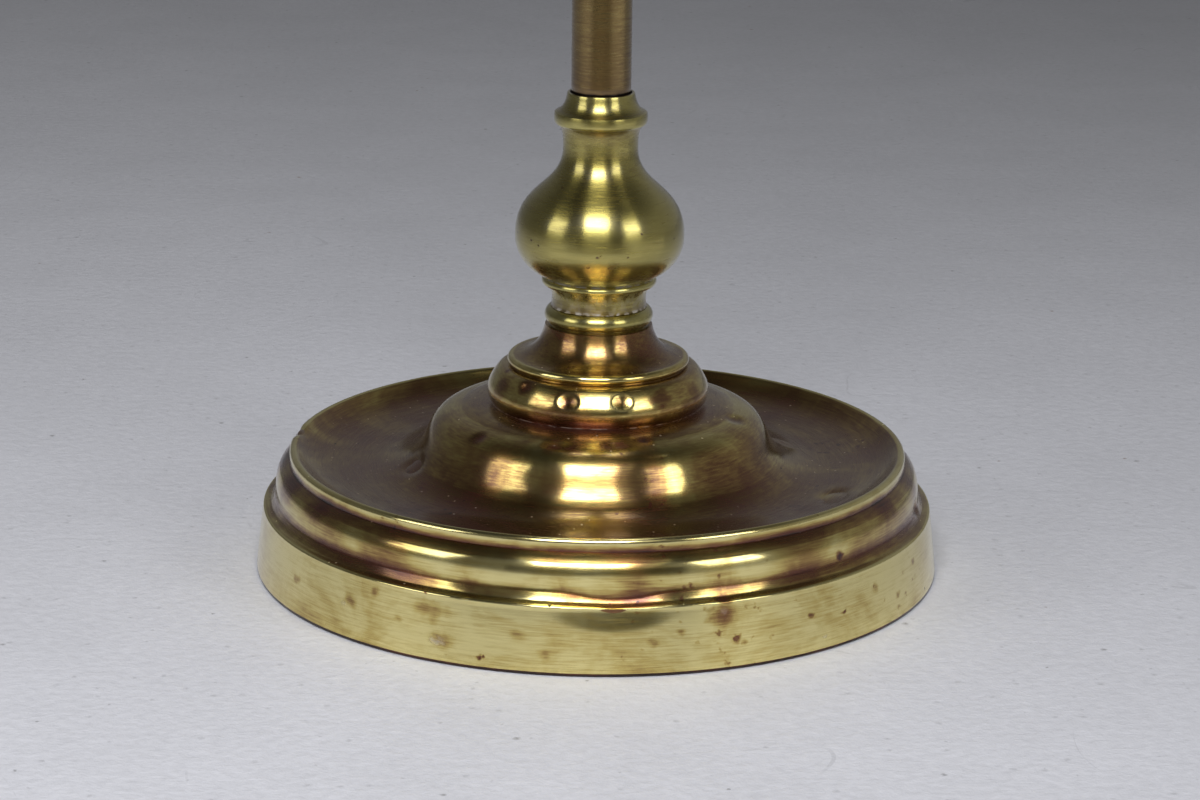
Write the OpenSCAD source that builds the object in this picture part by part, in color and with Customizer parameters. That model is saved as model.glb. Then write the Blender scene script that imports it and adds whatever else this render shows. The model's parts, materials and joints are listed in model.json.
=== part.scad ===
// Pharmacy floor lamp: spun brass base on a hidden iron weight, turned baluster, two-draw pole,
// swivelling and tilting arm, and a turning, tilting spun shade. Millimetres, +Z up.
// The origin is the centre of the felt pad's underside, on the floor. The arm points along +X.

/* [Base] */
// Outer radius of the spun base at its foot
base_r = 119.5; // [98:0.5:145]
// Thickness of the spun brass sheet
sheet = 1.2; // [0.8:0.1:1.6]
// Height of the skirt's top edge above the floor
skirt_h = 22.6; // [20:0.2:30]
// How much the skirt narrows from foot to top edge
skirt_draft = 2.5; // [1.5:0.1:4]
// Distance of the rim inside the foot radius
rim_inset = 11.9; // [11:0.1:14]
// Height of the rim above the skirt's top edge
rim_rise = 19.9; // [18:0.1:24]
// Depth of the dish below the rim
dish_depth = 7; // [4:0.5:10]
// Radius at the foot of the dome
dome_r = 65; // [60:0.5:68]
// Height of the dome's shoulder above the rim
dome_rise = 14; // [12:0.2:20]
// Radius of the bulging collar on the dome
torus_r = 38; // [35:0.5:41]
// Radius of the thin lip above the collar
lip_r = 31.6; // [29:0.2:34]
// Height of the lip above the dome's shoulder
lip_rise = 17.2; // [15:0.2:20]
// Radius of the base's neck, where the baluster stands
neck_r = 18.6; // [17:0.2:20]
// Height of the neck's top above the lip
neck_rise = 12.5; // [11:0.2:16]
// Thickness of the felt pad
felt_t = 2; // [1.5:0.1:4]
// Thickness of the iron weight's disc
weight_t = 15; // [10:0.5:17]
// Height of the flex gland's centre above the floor
gland_z = 11; // [10:0.1:12]

/* [Baluster] */
// Overall height of the baluster
baluster_h = 81.4; // [78:0.2:96]
// Radius of the baluster's bulb
bulge_r = 29.2; // [25:0.2:35]
// Radius of the baluster's throat
throat_r = 12.9; // [12.8:0.1:14]
// Depth of the socket that holds the lower pole
socket_depth = 12.6; // [8:0.2:16]

/* [Pole] */
// Outer diameter of the lower pole
lower_d = 20.5; // [19:0.1:21]
// Wall of the pole tubes
tube_wall = 1.2; // [1:0.1:1.5]
// Length of the lower pole
lower_len = 645; // [530:5:780]
// Outer diameter of the upper pole
upper_d = 16; // [13.3:0.1:16]
// Length of the upper pole
upper_len = 645; // [600:5:700]
// Length of the upper pole that shows above the collar
upper_out = 261; // [200:1:320]
// How much further the upper pole can be drawn out
draw_up = 170; // [120:5:200]
// Height of the pole collar
collar_h = 50; // [46:1:60]
// Outer diameter of the hollow tie rod
rod_d = 10; // [8.4:0.1:10.4]
// Bore of the tie rod, which the flex runs through
rod_bore_d = 7; // [6:0.1:7.2]

/* [Arm] */
// Distance of the arm's tilt pivot from the pole's axis
arm_offset = 27; // [25:0.5:34]
// Length of the arm tube
arm_len = 300; // [240:5:360]
// Outer diameter of the arm tube
arm_d = 12; // [11:0.5:14]
// Radius of the knuckles' round ears
knuckle_r = 9; // [8:0.5:11]
// Thickness of the eye in each knuckle
eye_t = 6; // [5:0.5:8]
// Thickness of one ear of a knuckle's fork
ear_t = 4.5; // [3.5:0.5:6]
// Diameter of the knuckle screws
screw_d = 5; // [4:0.5:6]
// Span of a wing nut across its wings
wing_span = 28; // [24:1:34]

/* [Shade and lampholder] */
// Radius of the shade's mouth
shade_r = 90; // [80:1:110]
// Height of the shade
shade_h = 92; // [80:1:110]
// Thickness of the shade's spun brass
shade_sheet = 0.9; // [0.7:0.1:1.2]
// Radius of the wired edge round the shade's mouth
edge_r = 2; // [1.6:0.1:2.6]
// Outer radius of the lampholder
holder_r = 19.5; // [18:0.5:21]
// Number of vent holes in the shade
vents = 12; // [6:1:16]
// Radius of the bulb's glass globe
globe_r = 22.5; // [20:0.5:24]

/* [Hidden] */
$fn = 96;

// Clearances
run_gap = 0.08;    // radial gap of a shaft that turns or slides in its bore
fit_gap = 0.05;    // radial gap of a fixed shaft in its bore
face_gap = 0.1;    // gap between faces that slide over each other
touch_gap = 0.3;   // gap at an end stop
seat_gap = 0.35;   // radial gap of the lower pole in the baluster's socket

// Base levels and radii
skirt_lift = 0.6;
skirt_top_r = base_r - skirt_draft;
rim_r = base_r - rim_inset;
rim_z = skirt_h + rim_rise;
dish_z = rim_z - dish_depth;
shoulder_z = rim_z + dome_rise;
lip_z = shoulder_z + lip_rise;
neck_z = lip_z + neck_rise;
shoulder_r = torus_r + 10;
crease_z = shoulder_z + 1.9;
crease_r = torus_r - 1;
rod_r = rod_d / 2;
rod_hole_r = rod_r + fit_gap;
skirt_lean = atan(skirt_draft / (skirt_h - skirt_lift));

// Weight, nut and gland
felt_r = base_r - sheet - 0.8;
weight_r = skirt_top_r - sheet - 2.3;
weight_z1 = felt_t + weight_t;
boss_r = 24;
boss_h = 8;
boss_z1 = weight_z1 + boss_h;
recess_r = 16;
recess_h = 10;
washer_t = 1.5;
nut_t = 6;
nut_flats = rod_d + 7;
recess_z1 = felt_t + recess_h;
spacer_r = rod_r + 4;
gland_bore_r = 3.4;
gland_body_r = 4.6;
gland_flange_r = 6.6;
gland_flange_t = 1.8;
gland_len = 10;
gland_nut_t = 2.5;
gland_nut_flats = 13;
gland_y = skirt_top_r + (skirt_h - gland_z) * tan(skirt_lean);

// Pole levels
lower_r = lower_d / 2;
lower_bore_r = lower_r - tube_wall;
upper_r = upper_d / 2;
upper_bore_r = upper_r - tube_wall;
lower_z0 = neck_z + baluster_h - socket_depth;
lower_z1 = lower_z0 + lower_len;
plug_len = 25;
collar_lap = 26;
collar_z0 = lower_z1 - collar_lap;
collar_z1 = collar_z0 + collar_h;
bush_r = (lower_bore_r + lower_r) / 2;
bush_len = collar_h - collar_lap - 6;
knob_z = lower_z1 + bush_len / 2;
knob_x = lower_r + 14;
upper_z1 = collar_z1 + upper_out;
upper_z0 = upper_z1 - upper_len;
ring_len = 15;
ring_z1 = lower_z1 - draw_up - touch_gap;

// Head
socket_lap = 20;
socket_z0 = upper_z1 - socket_lap;
socket_z1 = upper_z1 + 11;
spigot_r = 5;
spigot_bore_r = 3.5;
swivel_washer_t = 1;
block_z0 = socket_z1 + swivel_washer_t + face_gap;
block_h = 30;
block_r = 12;
block_z1 = block_z0 + block_h;
head_z = block_z0 + block_h / 2;
outlet_z = upper_z1 + 5.5;
small_bush_r = 2.6;
small_bush_bore_r = 1.9;

// Knuckles: distances are measured from the pivot
washer_gap = 0.75;
screw_r = screw_d / 2;
ear_y0 = eye_t / 2 + washer_gap;
ear_y1 = ear_y0 + ear_t;
root_x = knuckle_r + 1.5;
neck_half = 5.5;
arm_neck = knuckle_r + 6;
arm_boss_len = 9;
arm_x0 = arm_offset + arm_neck + arm_boss_len;
arm_x1 = arm_x0 + arm_len;
arm_r = arm_d / 2;
arm_bore_r = arm_r - tube_wall;
ferrule_lap = 12;
ferrule_x1 = arm_x1 + 5;
tip_spigot_r = 4;
tip_bore_r = 2.8;
tip_x0 = ferrule_x1 + face_gap;
tip_barrel_len = 9;
tip_nut_t = 4;
shade_pivot_x = tip_x0 + tip_barrel_len + tip_nut_t + 4.5 + root_x;

// Lampholder, downwards from the shade's pivot
shade_neck = knuckle_r + 13;
holder_boss_len = 8;
cap_z = head_z - shade_neck - holder_boss_len;
cap_h = 14;
body_z1 = cap_z - cap_h;
body_len = 36;
body_z0 = body_z1 - body_len;
holder_wall = 1.2;
ring_r = holder_r + 7;
shade_ring_t = 5;
shade_top_z = body_z1 - 18;
key_z = body_z1 - 5.5;
porcelain_r = holder_r - holder_wall - fit_gap;
porcelain_t = 12;
thread_r = 14.4;
thread_wall = 0.6;
thread_z0 = body_z0 - 1;
thread_z1 = body_z1 - 14;
bulb_cap_r = 13.2;
bulb_cap_z1 = thread_z1 - 5;
bulb_cap_len = 22;
globe_z = bulb_cap_z1 - bulb_cap_len - globe_r - 6;
mouth_z = shade_top_z - shade_h;

// ---------------------------------------------------------------- curves

// Points along a cubic curve
function curve(p0, p1, p2, p3, n = 8) = [
    for (i = [0:n])
        let (t = i / n, s = 1 - t)
            s * s * s * p0 + 3 * s * s * t * p1 + 3 * s * t * t * p2 + t * t * t * p3
];

// Points along a round stretch about c
function round_off(c, r, a0, a1, n = 6) = [
    for (i = [0:n])
        let (a = a0 + (a1 - a0) * i / n)
            c + r * [cos(a), sin(a)]
];

function reversed(path) = [for (i = [len(path) - 1:-1:0]) path[i]];

function left_of(a, b) = let (d = (b - a) / norm(b - a)) [-d[1], d[0]];

// The same path moved t to its left, square to it
function inset(path, t) = [
    for (i = [0:len(path) - 1])
        let (
            before = i > 0 ? left_of(path[i - 1], path[i]) : left_of(path[0], path[1]),
            after = i < len(path) - 1 ? left_of(path[i], path[i + 1]) : before,
            both = before + after
        )
            path[i] + t * 2 * both / (both * both)
];

// ---------------------------------------------------------------- common shapes

// A solid of revolution between an outer path, given from its foot up, and a straight bore
module turned(path, bore_r = 0) {
    last = path[len(path) - 1];
    rotate_extrude()
        polygon(concat([[bore_r, path[0][1]]], path, [[bore_r, last[1]]]));
}

module tube(r, bore_r, z0, z1) {
    translate([0, 0, z0])
        difference() {
            cylinder(r = r, h = z1 - z0);
            translate([0, 0, -1]) cylinder(r = bore_r, h = z1 - z0 + 2);
        }
}

module hex_nut(flats, bore_r, t) {
    difference() {
        cylinder(d = flats / cos(30), h = t, $fn = 6);
        translate([0, 0, -1]) cylinder(r = bore_r, h = t + 2);
    }
}

// A straight-knurled disc
module knurled(r, t, teeth, depth = 0.5) {
    linear_extrude(t)
        polygon([
            for (i = [0:2 * teeth - 1])
                let (a = 180 * i / teeth, q = r - depth * (i % 2))
                    q * [cos(a), sin(a)]
        ]);
}

module along_x() { rotate([0, 90, 0]) children(); }
module along_y() { rotate([-90, 0, 0]) children(); }
module at_arm_pivot() { translate([arm_offset, 0, head_z]) children(); }
module at_shade_pivot() { translate([shade_pivot_x, 0, head_z]) children(); }
module at_shade_axis() { translate([shade_pivot_x, 0, 0]) children(); }

// The skirt's outward face at the back, tilted to the skirt
module at_gland() {
    translate([0, gland_y, gland_z])
        rotate([-90 + skirt_lean, 0, 0]) children();
}

// A bush with an outer flange, its flange's back face at z = 0
module flanged_bush(bore_r, body_r, flange_r, flange_t, body_len) {
    difference() {
        union() {
            cylinder(r = flange_r, h = flange_t);
            translate([0, 0, -body_len]) cylinder(r = body_r, h = body_len + flange_t / 2);
        }
        translate([0, 0, -body_len - 1]) cylinder(r = bore_r, h = body_len + flange_t + 2);
    }
}

// Two ears of a knuckle's fork, pivot at the origin and root towards -X
module fork_ears(root) {
    for (side = [-1, 1])
        difference() {
            union() {
                translate([0, side * ear_y0, 0])
                    rotate([-90 * side, 0, 0]) cylinder(r = knuckle_r, h = ear_t);
                translate([-root, side > 0 ? ear_y0 : -ear_y1, -knuckle_r])
                    cube([root, ear_t, 2 * knuckle_r]);
            }
            translate([0, -ear_y1 - 1, 0])
                along_y() cylinder(r = screw_r + fit_gap, h = 2 * ear_y1 + 2);
        }
}

// The flat eye of a knuckle, pivot at the origin and neck towards +X
module knuckle_eye(neck) {
    difference() {
        union() {
            translate([0, -eye_t / 2, 0]) along_y() cylinder(r = knuckle_r, h = eye_t);
            translate([0, -eye_t / 2, -neck_half]) cube([neck, eye_t, 2 * neck_half]);
        }
        translate([0, -eye_t, 0]) along_y() cylinder(r = screw_r + run_gap, h = 2 * eye_t);
    }
}

// Slotted screw of a knuckle, along +Y through the pivot
module knuckle_screw() {
    head_r = screw_d;
    head_t = 3;
    nut_room = 8;
    translate([0, -ear_y1 - head_t, 0])
        along_y() difference() {
            union() {
                turned(concat(
                    curve([0, 0], [head_r * 0.6, 0], [head_r, head_t * 0.4], [head_r, head_t * 0.8]),
                    [[head_r, head_t]]));
                translate([0, 0, head_t / 2])
                    cylinder(r = screw_r, h = head_t / 2 + 2 * ear_y1 + nut_room);
            }
            translate([-head_r, -0.6, -1]) cube([2 * head_r, 1.2, 2.2]);
        }
}

module knuckle_washers() {
    for (side = [-1, 1])
        translate([0, side * (eye_t / 2 + fit_gap), 0])
            rotate([-90 * side, 0, 0])
                tube(knuckle_r - 0.5, screw_r + run_gap, 0, washer_gap - 2 * fit_gap);
}

// Wing nut on a knuckle screw
module wing_nut() {
    hub_r = screw_d;
    hub_t = 6;
    wing_r = 5;
    wing_t = 2.4;
    wing_x = wing_span / 2 - wing_r;
    translate([0, ear_y1 + face_gap, 0])
        along_y() difference() {
            union() {
                turned([[hub_r + 0.6, 0], [hub_r + 0.6, 1.2], [hub_r, 1.6], [hub_r - 0.8, hub_t]]);
                for (side = [-1, 1]) {
                    translate([side * wing_x, wing_t / 2, hub_t])
                        rotate([90, 0, 0]) cylinder(r = wing_r, h = wing_t);
                    translate([side > 0 ? 3 : -wing_x, -wing_t / 2, 1.6])
                        cube([wing_x - 3, wing_t, hub_t]);
                }
            }
            translate([0, 0, -1]) cylinder(r = screw_r + run_gap, h = hub_t + 10);
        }
}

// ---------------------------------------------------------------- base

// The base's outer surface from the foot to the neck, in stretches that meet end to end
skirt_line = [[base_r, skirt_lift], [skirt_top_r, skirt_h - 0.9]];
skirt_edge = round_off([skirt_top_r - 0.7, skirt_h - 0.4], 0.7, 0, 80, 4);
ogee_line = concat(
    curve([skirt_top_r - 0.9, skirt_h + 0.4], [skirt_top_r - 1.8, skirt_h + 0.6],
          [skirt_top_r - 2.3, skirt_h + 0.6], [skirt_top_r - 2.8, skirt_h + 0.9], 3),
    curve([skirt_top_r - 2.9, skirt_h + 1], [skirt_top_r - 3.3, skirt_h + 1.5],
          [skirt_top_r - 3.7, skirt_h + 2.4], [skirt_top_r - 4.1, skirt_h + 3.3], 4),
    curve([skirt_top_r - 4.2, skirt_h + 3.5], [skirt_top_r - 4.5, skirt_h + 4.4],
          [skirt_top_r - 4.5, skirt_h + 5.2], [skirt_top_r - 4.5, skirt_h + 6.2], 4),
    curve([skirt_top_r - 4.5, skirt_h + 6.8], [skirt_top_r - 4.5, rim_z - 10.7],
          [rim_r + 4.5, rim_z - 8.5], [rim_r + 3.3, rim_z - 6.9], 7),
    curve([rim_r + 3.2, rim_z - 6.8], [rim_r + 2.4, rim_z - 5.8],
          [rim_r + 1.6, rim_z - 5.1], [rim_r + 0.6, rim_z - 4.5], 4)
);
rim_line = concat(
    [[rim_r, rim_z - 4.2]],
    round_off([rim_r - 1.5, rim_z - 1.5], 1.5, 0, 120, 6)
);
dish_mid_r = (rim_r + dome_r) / 2;
dish_line = concat(
    curve([rim_r - 2.6, rim_z - 0.3], [rim_r - 6, rim_z - 3.5],
          [rim_r - 9, dish_z + 0.8], [dish_mid_r, dish_z], 8),
    curve([dish_mid_r - 1, dish_z - 0.05], [dome_r + 11, dish_z - 1],
          [dome_r + 5, dish_z + 0.2], [dome_r, dish_z + 3.7], 8)
);
dome_line = concat(
    curve([dome_r - 0.6, dish_z + 4.3], [shoulder_r + 10, dish_z + 10],
          [shoulder_r + 11.5, shoulder_z - 2.4], [shoulder_r, shoulder_z], 12),
    curve([shoulder_r - 0.8, shoulder_z + 0.3], [shoulder_r - 4.5, shoulder_z + 1.5],
          [crease_r + 3, crease_z - 0.2], [crease_r, crease_z], 5)
);
torus_line = concat(
    curve([crease_r + 0.1, crease_z + 0.3], [torus_r + 0.6, crease_z + 3],
          [torus_r + 0.6, lip_z - 8], [torus_r - 1.2, lip_z - 5.2], 7),
    curve([torus_r - 1.4, lip_z - 4.9], [torus_r - 3, lip_z - 2.5],
          [lip_r + 1.4, lip_z - 1.9], [lip_r - 1.2, lip_z - 1.8], 4)
);
lip_line = round_off([lip_r - 1.6, lip_z], 1.6, -75, 90, 6);
neck_line = concat(
    curve([lip_r - 2.4, lip_z + 1.6], [lip_r - 6.5, lip_z + 2],
          [neck_r + 2, lip_z + 6], [neck_r, neck_z], 9),
    [[rod_hole_r, neck_z]]
);

module base_shell() {
    outside = concat(skirt_line, skirt_edge, ogee_line, rim_line, dish_line,
                     dome_line, torus_line, lip_line, neck_line);
    inside = inset(concat(skirt_line, ogee_line, rim_line, dish_line,
                          dome_line, torus_line, lip_line, neck_line), sheet);
    color([0.80, 0.64, 0.30]) difference() {
        rotate_extrude($fn = 180) polygon(concat(outside, reversed(inside)));
        at_gland() translate([0, 0, -gland_len])
            cylinder(r = gland_body_r + fit_gap, h = 2 * gland_len);
    }
}

module base_weight() {
    channel_w = 9;
    slot_w = 17;
    slot_len = 14;
    color([0.25, 0.25, 0.26]) difference() {
        union() {
            turned([[weight_r - 1, felt_t], [weight_r, felt_t + 1], [weight_r, weight_z1 - 3],
                    [weight_r - 3, weight_z1]]);
            turned([[boss_r, weight_z1 - 1], [boss_r, boss_z1 - 2], [boss_r - 2, boss_z1]]);
        }
        translate([0, 0, felt_t - 1]) cylinder(r = rod_hole_r, h = boss_z1);
        translate([0, 0, felt_t - 1]) cylinder(r = recess_r, h = recess_h + 1);
        translate([-channel_w / 2, 0, felt_t - 1]) cube([channel_w, weight_r + 1, channel_w + 1]);
        translate([-slot_w / 2, weight_r - slot_len, felt_t - 1])
            cube([slot_w, slot_len + 1, weight_t + 2]);
    }
}

module felt_pad() {
    color([0.13, 0.22, 0.15]) cylinder(r = felt_r, h = felt_t);
}

module weight_spacer() {
    color([0.45, 0.45, 0.47]) tube(spacer_r, rod_hole_r, boss_z1, neck_z - sheet);
}

module tie_rod() {
    color([0.55, 0.55, 0.57]) tube(rod_r, rod_bore_d / 2, felt_t + 1, lower_z0 + plug_len - 2);
}

module tie_washer() {
    color([0.6, 0.6, 0.62]) tube(recess_r - 1.5, rod_hole_r, recess_z1 - washer_t, recess_z1);
}

module tie_nut() {
    color([0.55, 0.55, 0.57]) translate([0, 0, recess_z1 - washer_t - nut_t])
        hex_nut(nut_flats, rod_hole_r, nut_t);
}

module flex_gland() {
    color([0.16, 0.10, 0.07]) at_gland() translate([0, 0, fit_gap])
        flanged_bush(gland_bore_r, gland_body_r, gland_flange_r, gland_flange_t, gland_len);
}

module gland_nut() {
    color([0.7, 0.58, 0.3]) at_gland() translate([0, 0, -sheet - gland_nut_t - 0.4])
        hex_nut(gland_nut_flats, gland_body_r + fit_gap, gland_nut_t);
}

// ---------------------------------------------------------------- baluster and pole

module baluster() {
    z = neck_z;
    foot_r = neck_r + 0.2;
    waist_r = foot_r - 2.6;
    collar_r = foot_r + 1.1;
    band_r = throat_r + 3.1;
    top_z = z + baluster_h;
    band_z = top_z - 6.5;
    lip_out_r = lower_r + seat_gap + 1;
    bulge_z = z + 31.3;
    throat_z = band_z - 12.6;
    outside = concat(
        [[foot_r - 1.5, z]],
        round_off([foot_r - 3.2, z + 3.4], 3.2, -70, 90, 8),
        [[foot_r - 2.2, z + 6.7]],
        curve([waist_r + 0.2, z + 7], [waist_r, z + 9.8],
              [waist_r, z + 11.8], [waist_r + 1.2, z + 13.8], 5),
        round_off([collar_r - 1.5, z + 15.6], 1.5, -60, 100, 6),
        curve([collar_r - 0.9, z + 17.3], [bulge_r - 4.2, z + 19.8],
              [bulge_r, bulge_z - 6.5], [bulge_r, bulge_z], 12),
        curve([bulge_r, bulge_z + 0.5], [bulge_r, bulge_z + 18],
              [throat_r, throat_z - 14], [throat_r, throat_z], 14),
        curve([throat_r, throat_z + 0.4], [throat_r, throat_z + 3],
              [throat_r + 0.1, throat_z + 6], [band_r - 1.6, band_z - 4.8], 5),
        [[band_r - 0.6, band_z - 4.4], [band_r, band_z - 3], [band_r, band_z - 1.2],
         [band_r - 0.8, band_z]],
        curve([band_r - 1, band_z + 0.1], [lip_out_r + 1.4, band_z + 0.8],
              [lip_out_r + 0.4, band_z + 3.4], [lip_out_r, top_z - 0.5], 6),
        [[lip_out_r - 0.4, top_z]]
    );
    hollow = concat(
        [[rod_hole_r, z + 19]],
        curve([rod_hole_r + 7, z + 19], [bulge_r - 8.2, z + 21],
              [bulge_r - 3.5, bulge_z - 5.5], [bulge_r - 3.5, bulge_z], 8),
        curve([bulge_r - 3.5, bulge_z + 0.5], [bulge_r - 3.5, bulge_z + 16],
              [throat_r - 3.5, throat_z - 14], [throat_r - 3.5, throat_z - 3], 8),
        [[rod_hole_r, throat_z - 1]]
    );
    color([0.74, 0.66, 0.30]) difference() {
        turned(outside, rod_hole_r);
        rotate_extrude() polygon(hollow);
        translate([0, 0, lower_z0]) cylinder(r = lower_r + seat_gap, h = socket_depth + 1);
    }
}

module pole_plug() {
    color([0.72, 0.6, 0.3]) tube(lower_bore_r - fit_gap, rod_hole_r, lower_z0, lower_z0 + plug_len);
}

module lower_pole() {
    color([0.66, 0.52, 0.27]) tube(lower_r, lower_bore_r, lower_z0, lower_z1);
}

module pole_collar() {
    sleeve_r = lower_r + 2.2;
    waist_r = sleeve_r + 0.4;
    bead_r = sleeve_r + 2.6;
    mouth_r = upper_r + run_gap + 0.6;
    boss_x = knob_x - 5;
    outside = concat(
        [[sleeve_r - 0.8, collar_z0], [sleeve_r, collar_z0 + 0.8], [sleeve_r, collar_z0 + 7]],
        round_off([sleeve_r + 0.4, collar_z0 + 9.2], 2.2, -80, 80, 8),
        [[waist_r, collar_z0 + 12], [waist_r, collar_z0 + 20]],
        curve([waist_r, collar_z0 + 20.4], [waist_r + 0.2, collar_z0 + 23],
              [bead_r, collar_z0 + 24], [bead_r, collar_z0 + 27], 6),
        [[bead_r, collar_z1 - 9]],
        curve([bead_r, collar_z1 - 8.6], [bead_r, collar_z1 - 4],
              [mouth_r + 3.2, collar_z1 - 3.4], [mouth_r + 2.4, collar_z1 - 0.4], 6),
        [[mouth_r + 2, collar_z1]]
    );
    color([0.74, 0.66, 0.30]) difference() {
        union() {
            turned(outside);
            translate([0, 0, knob_z]) along_x() cylinder(r = 5, h = boss_x);
        }
        translate([0, 0, collar_z0 - 1]) cylinder(r = lower_r + fit_gap, h = collar_lap + 1);
        translate([0, 0, lower_z1 - 1]) cylinder(r = bush_r + fit_gap, h = bush_len + 1);
        translate([0, 0, lower_z1]) cylinder(r = mouth_r, h = collar_h);
        translate([0, 0, knob_z]) along_x() cylinder(r = screw_r + run_gap, h = knob_x);
    }
}

module collar_bush() {
    split_w = 1.2;
    color([0.35, 0.24, 0.16]) difference() {
        tube(bush_r, upper_r + run_gap, lower_z1, lower_z1 + bush_len - fit_gap);
        translate([-bush_r - 1, -split_w / 2, lower_z1 - 1]) cube([bush_r, split_w, bush_len + 2]);
    }
}

module height_screw() {
    tip_x = bush_r + 0.15;
    head_t = 8;
    head_r = 9.5;
    color([0.74, 0.66, 0.30]) translate([0, 0, knob_z]) along_x() {
        translate([0, 0, tip_x]) cylinder(r = screw_r, h = knob_x - tip_x + 1);
        translate([0, 0, knob_x - 4.6]) cylinder(r = screw_r + 1.2, h = 5);
        translate([0, 0, knob_x]) knurled(head_r, head_t, 36, 0.6);
        translate([0, 0, knob_x + head_t])
            turned(curve([head_r - 1.6, 0], [head_r - 2, 1], [head_r - 5, 1.4], [0, 1.4], 6));
    }
}

module upper_pole() {
    color([0.7, 0.56, 0.28]) tube(upper_r, upper_bore_r, upper_z0, upper_z1);
}

module pole_ring(z0) {
    tube(lower_bore_r - run_gap, upper_r + fit_gap, z0, z0 + ring_len);
}

module guide_ring() {
    color([0.72, 0.6, 0.3]) pole_ring(upper_z0);
}

module stop_ring() {
    color([0.72, 0.6, 0.3]) pole_ring(ring_z1 - ring_len);
}

// ---------------------------------------------------------------- head

module head_socket() {
    sleeve_r = upper_r + 2;
    bead_r = upper_r + 4.4;
    outside = concat(
        [[sleeve_r - 0.8, socket_z0], [sleeve_r, socket_z0 + 0.8], [sleeve_r, socket_z0 + 6]],
        round_off([sleeve_r + 0.2, socket_z0 + 8], 2, -80, 80, 8),
        curve([sleeve_r, socket_z0 + 10.6], [sleeve_r, socket_z0 + 14],
              [bead_r - 2, socket_z1 - 10], [bead_r, socket_z1 - 4], 7),
        round_off([bead_r - 1, socket_z1 - 2], 1.6, -30, 70, 5),
        [[block_r - 1, socket_z1]]
    );
    color([0.74, 0.66, 0.30]) difference() {
        turned(outside);
        translate([0, 0, socket_z0 - 1]) cylinder(r = upper_r + fit_gap, h = socket_lap + 1);
        translate([0, 0, socket_z0 - 1]) cylinder(r = spigot_r + fit_gap, h = socket_z1);
        translate([0, 0, outlet_z]) rotate([0, -90, 0])
            cylinder(r = small_bush_r + fit_gap, h = 2 * bead_r);
    }
}

module swivel_spigot() {
    color([0.6, 0.6, 0.62]) difference() {
        tube(spigot_r, spigot_bore_r, upper_z1 + face_gap, block_z1 + 10);
        translate([0, 0, outlet_z]) rotate([0, -90, 0])
            cylinder(r = small_bush_r, h = 2 * spigot_r);
    }
}

module swivel_washer() {
    color([0.42, 0.16, 0.12])
        tube(block_r - 0.5, spigot_r + fit_gap, socket_z1, socket_z1 + swivel_washer_t);
}

module swivel_finial() {
    z = block_z1 + face_gap;
    outside = concat(
        [[block_r - 2.4, z], [block_r - 1.6, z + 0.8], [block_r - 1.6, z + 2.2]],
        curve([block_r - 2.4, z + 2.8], [block_r - 5, z + 3.2],
              [block_r - 5.6, z + 4.6], [block_r - 5.4, z + 6], 5),
        curve([block_r - 5, z + 6.3], [block_r - 1.6, z + 8],
              [block_r - 2, z + 15], [2.6, z + 17.6], 10),
        round_off([1, z + 19.2], 1.9, -50, 90, 6),
        [[0, z + 21.1]]
    );
    color([0.74, 0.66, 0.30]) difference() {
        turned(outside);
        translate([0, 0, z - 1]) cylinder(r = spigot_r + fit_gap, h = 11.5);
    }
}

// Fibre bush that lines the flex's way out of the head socket
module outlet_bush() {
    wall_x = upper_r + 2.6;
    color([0.16, 0.10, 0.07]) translate([-wall_x, 0, outlet_z]) rotate([0, -90, 0])
        tube(small_bush_r, small_bush_bore_r, -(wall_x - spigot_r - fit_gap - 0.3), 1.6);
}

module swivel_block() {
    bead_t = 3;
    outside = concat(
        [[block_r - 1, block_z0], [block_r, block_z0 + 0.8], [block_r, block_z0 + bead_t]],
        [[block_r - 1.2, block_z0 + bead_t + 1], [block_r - 1.2, block_z1 - bead_t - 1]],
        [[block_r, block_z1 - bead_t], [block_r, block_z1 - 0.8], [block_r - 1, block_z1]]
    );
    color([0.74, 0.66, 0.30]) {
        difference() {
            union() {
                turned(outside);
                at_arm_pivot() translate([-arm_offset, -ear_y1, -knuckle_r])
                    cube([arm_offset - root_x, 2 * ear_y1, 2 * knuckle_r]);
                at_arm_pivot() fork_ears(root_x + 0.5);
            }
            translate([0, 0, block_z0 - 1]) cylinder(r = spigot_r + run_gap, h = block_h + 2);
        }
    }
}

module arm_screw() { color([0.6, 0.5, 0.28]) at_arm_pivot() knuckle_screw(); }
module arm_washers() { color([0.42, 0.16, 0.12]) at_arm_pivot() knuckle_washers(); }
module arm_wing_nut() { color([0.74, 0.66, 0.30]) at_arm_pivot() wing_nut(); }

// ---------------------------------------------------------------- arm

module arm_knuckle() {
    boss_r = arm_r + 1.6;
    boss = [
        [boss_r - 1.6, 0], [boss_r - 0.4, 0.8], [boss_r, 2], [boss_r, 3], [boss_r - 1, 4.2],
        [boss_r - 1.2, 6], [boss_r - 0.6, 7.4], [boss_r - 0.6, arm_boss_len]
    ];
    color([0.74, 0.66, 0.30]) at_arm_pivot() {
        knuckle_eye(arm_neck + 1);
        translate([arm_neck, 0, 0]) along_x() {
            turned(boss);
            translate([0, 0, arm_boss_len - 1]) cylinder(r = arm_bore_r - fit_gap, h = 13);
        }
    }
}

module arm_tube() {
    inlet_x = arm_x0 + 22;
    color([0.7, 0.56, 0.28]) difference() {
        translate([0, 0, head_z]) along_x() tube(arm_r, arm_bore_r, arm_x0, arm_x1);
        translate([inlet_x, 0, head_z - 2 * arm_r])
            cylinder(r = small_bush_r + fit_gap, h = 2 * arm_r);
    }
}

// Fibre bush that lines the flex's way into the arm
module inlet_bush() {
    inlet_x = arm_x0 + 22;
    color([0.16, 0.10, 0.07]) translate([inlet_x, 0, head_z - arm_r])
        tube(small_bush_r, small_bush_bore_r, -1.2, 2);
}

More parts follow.
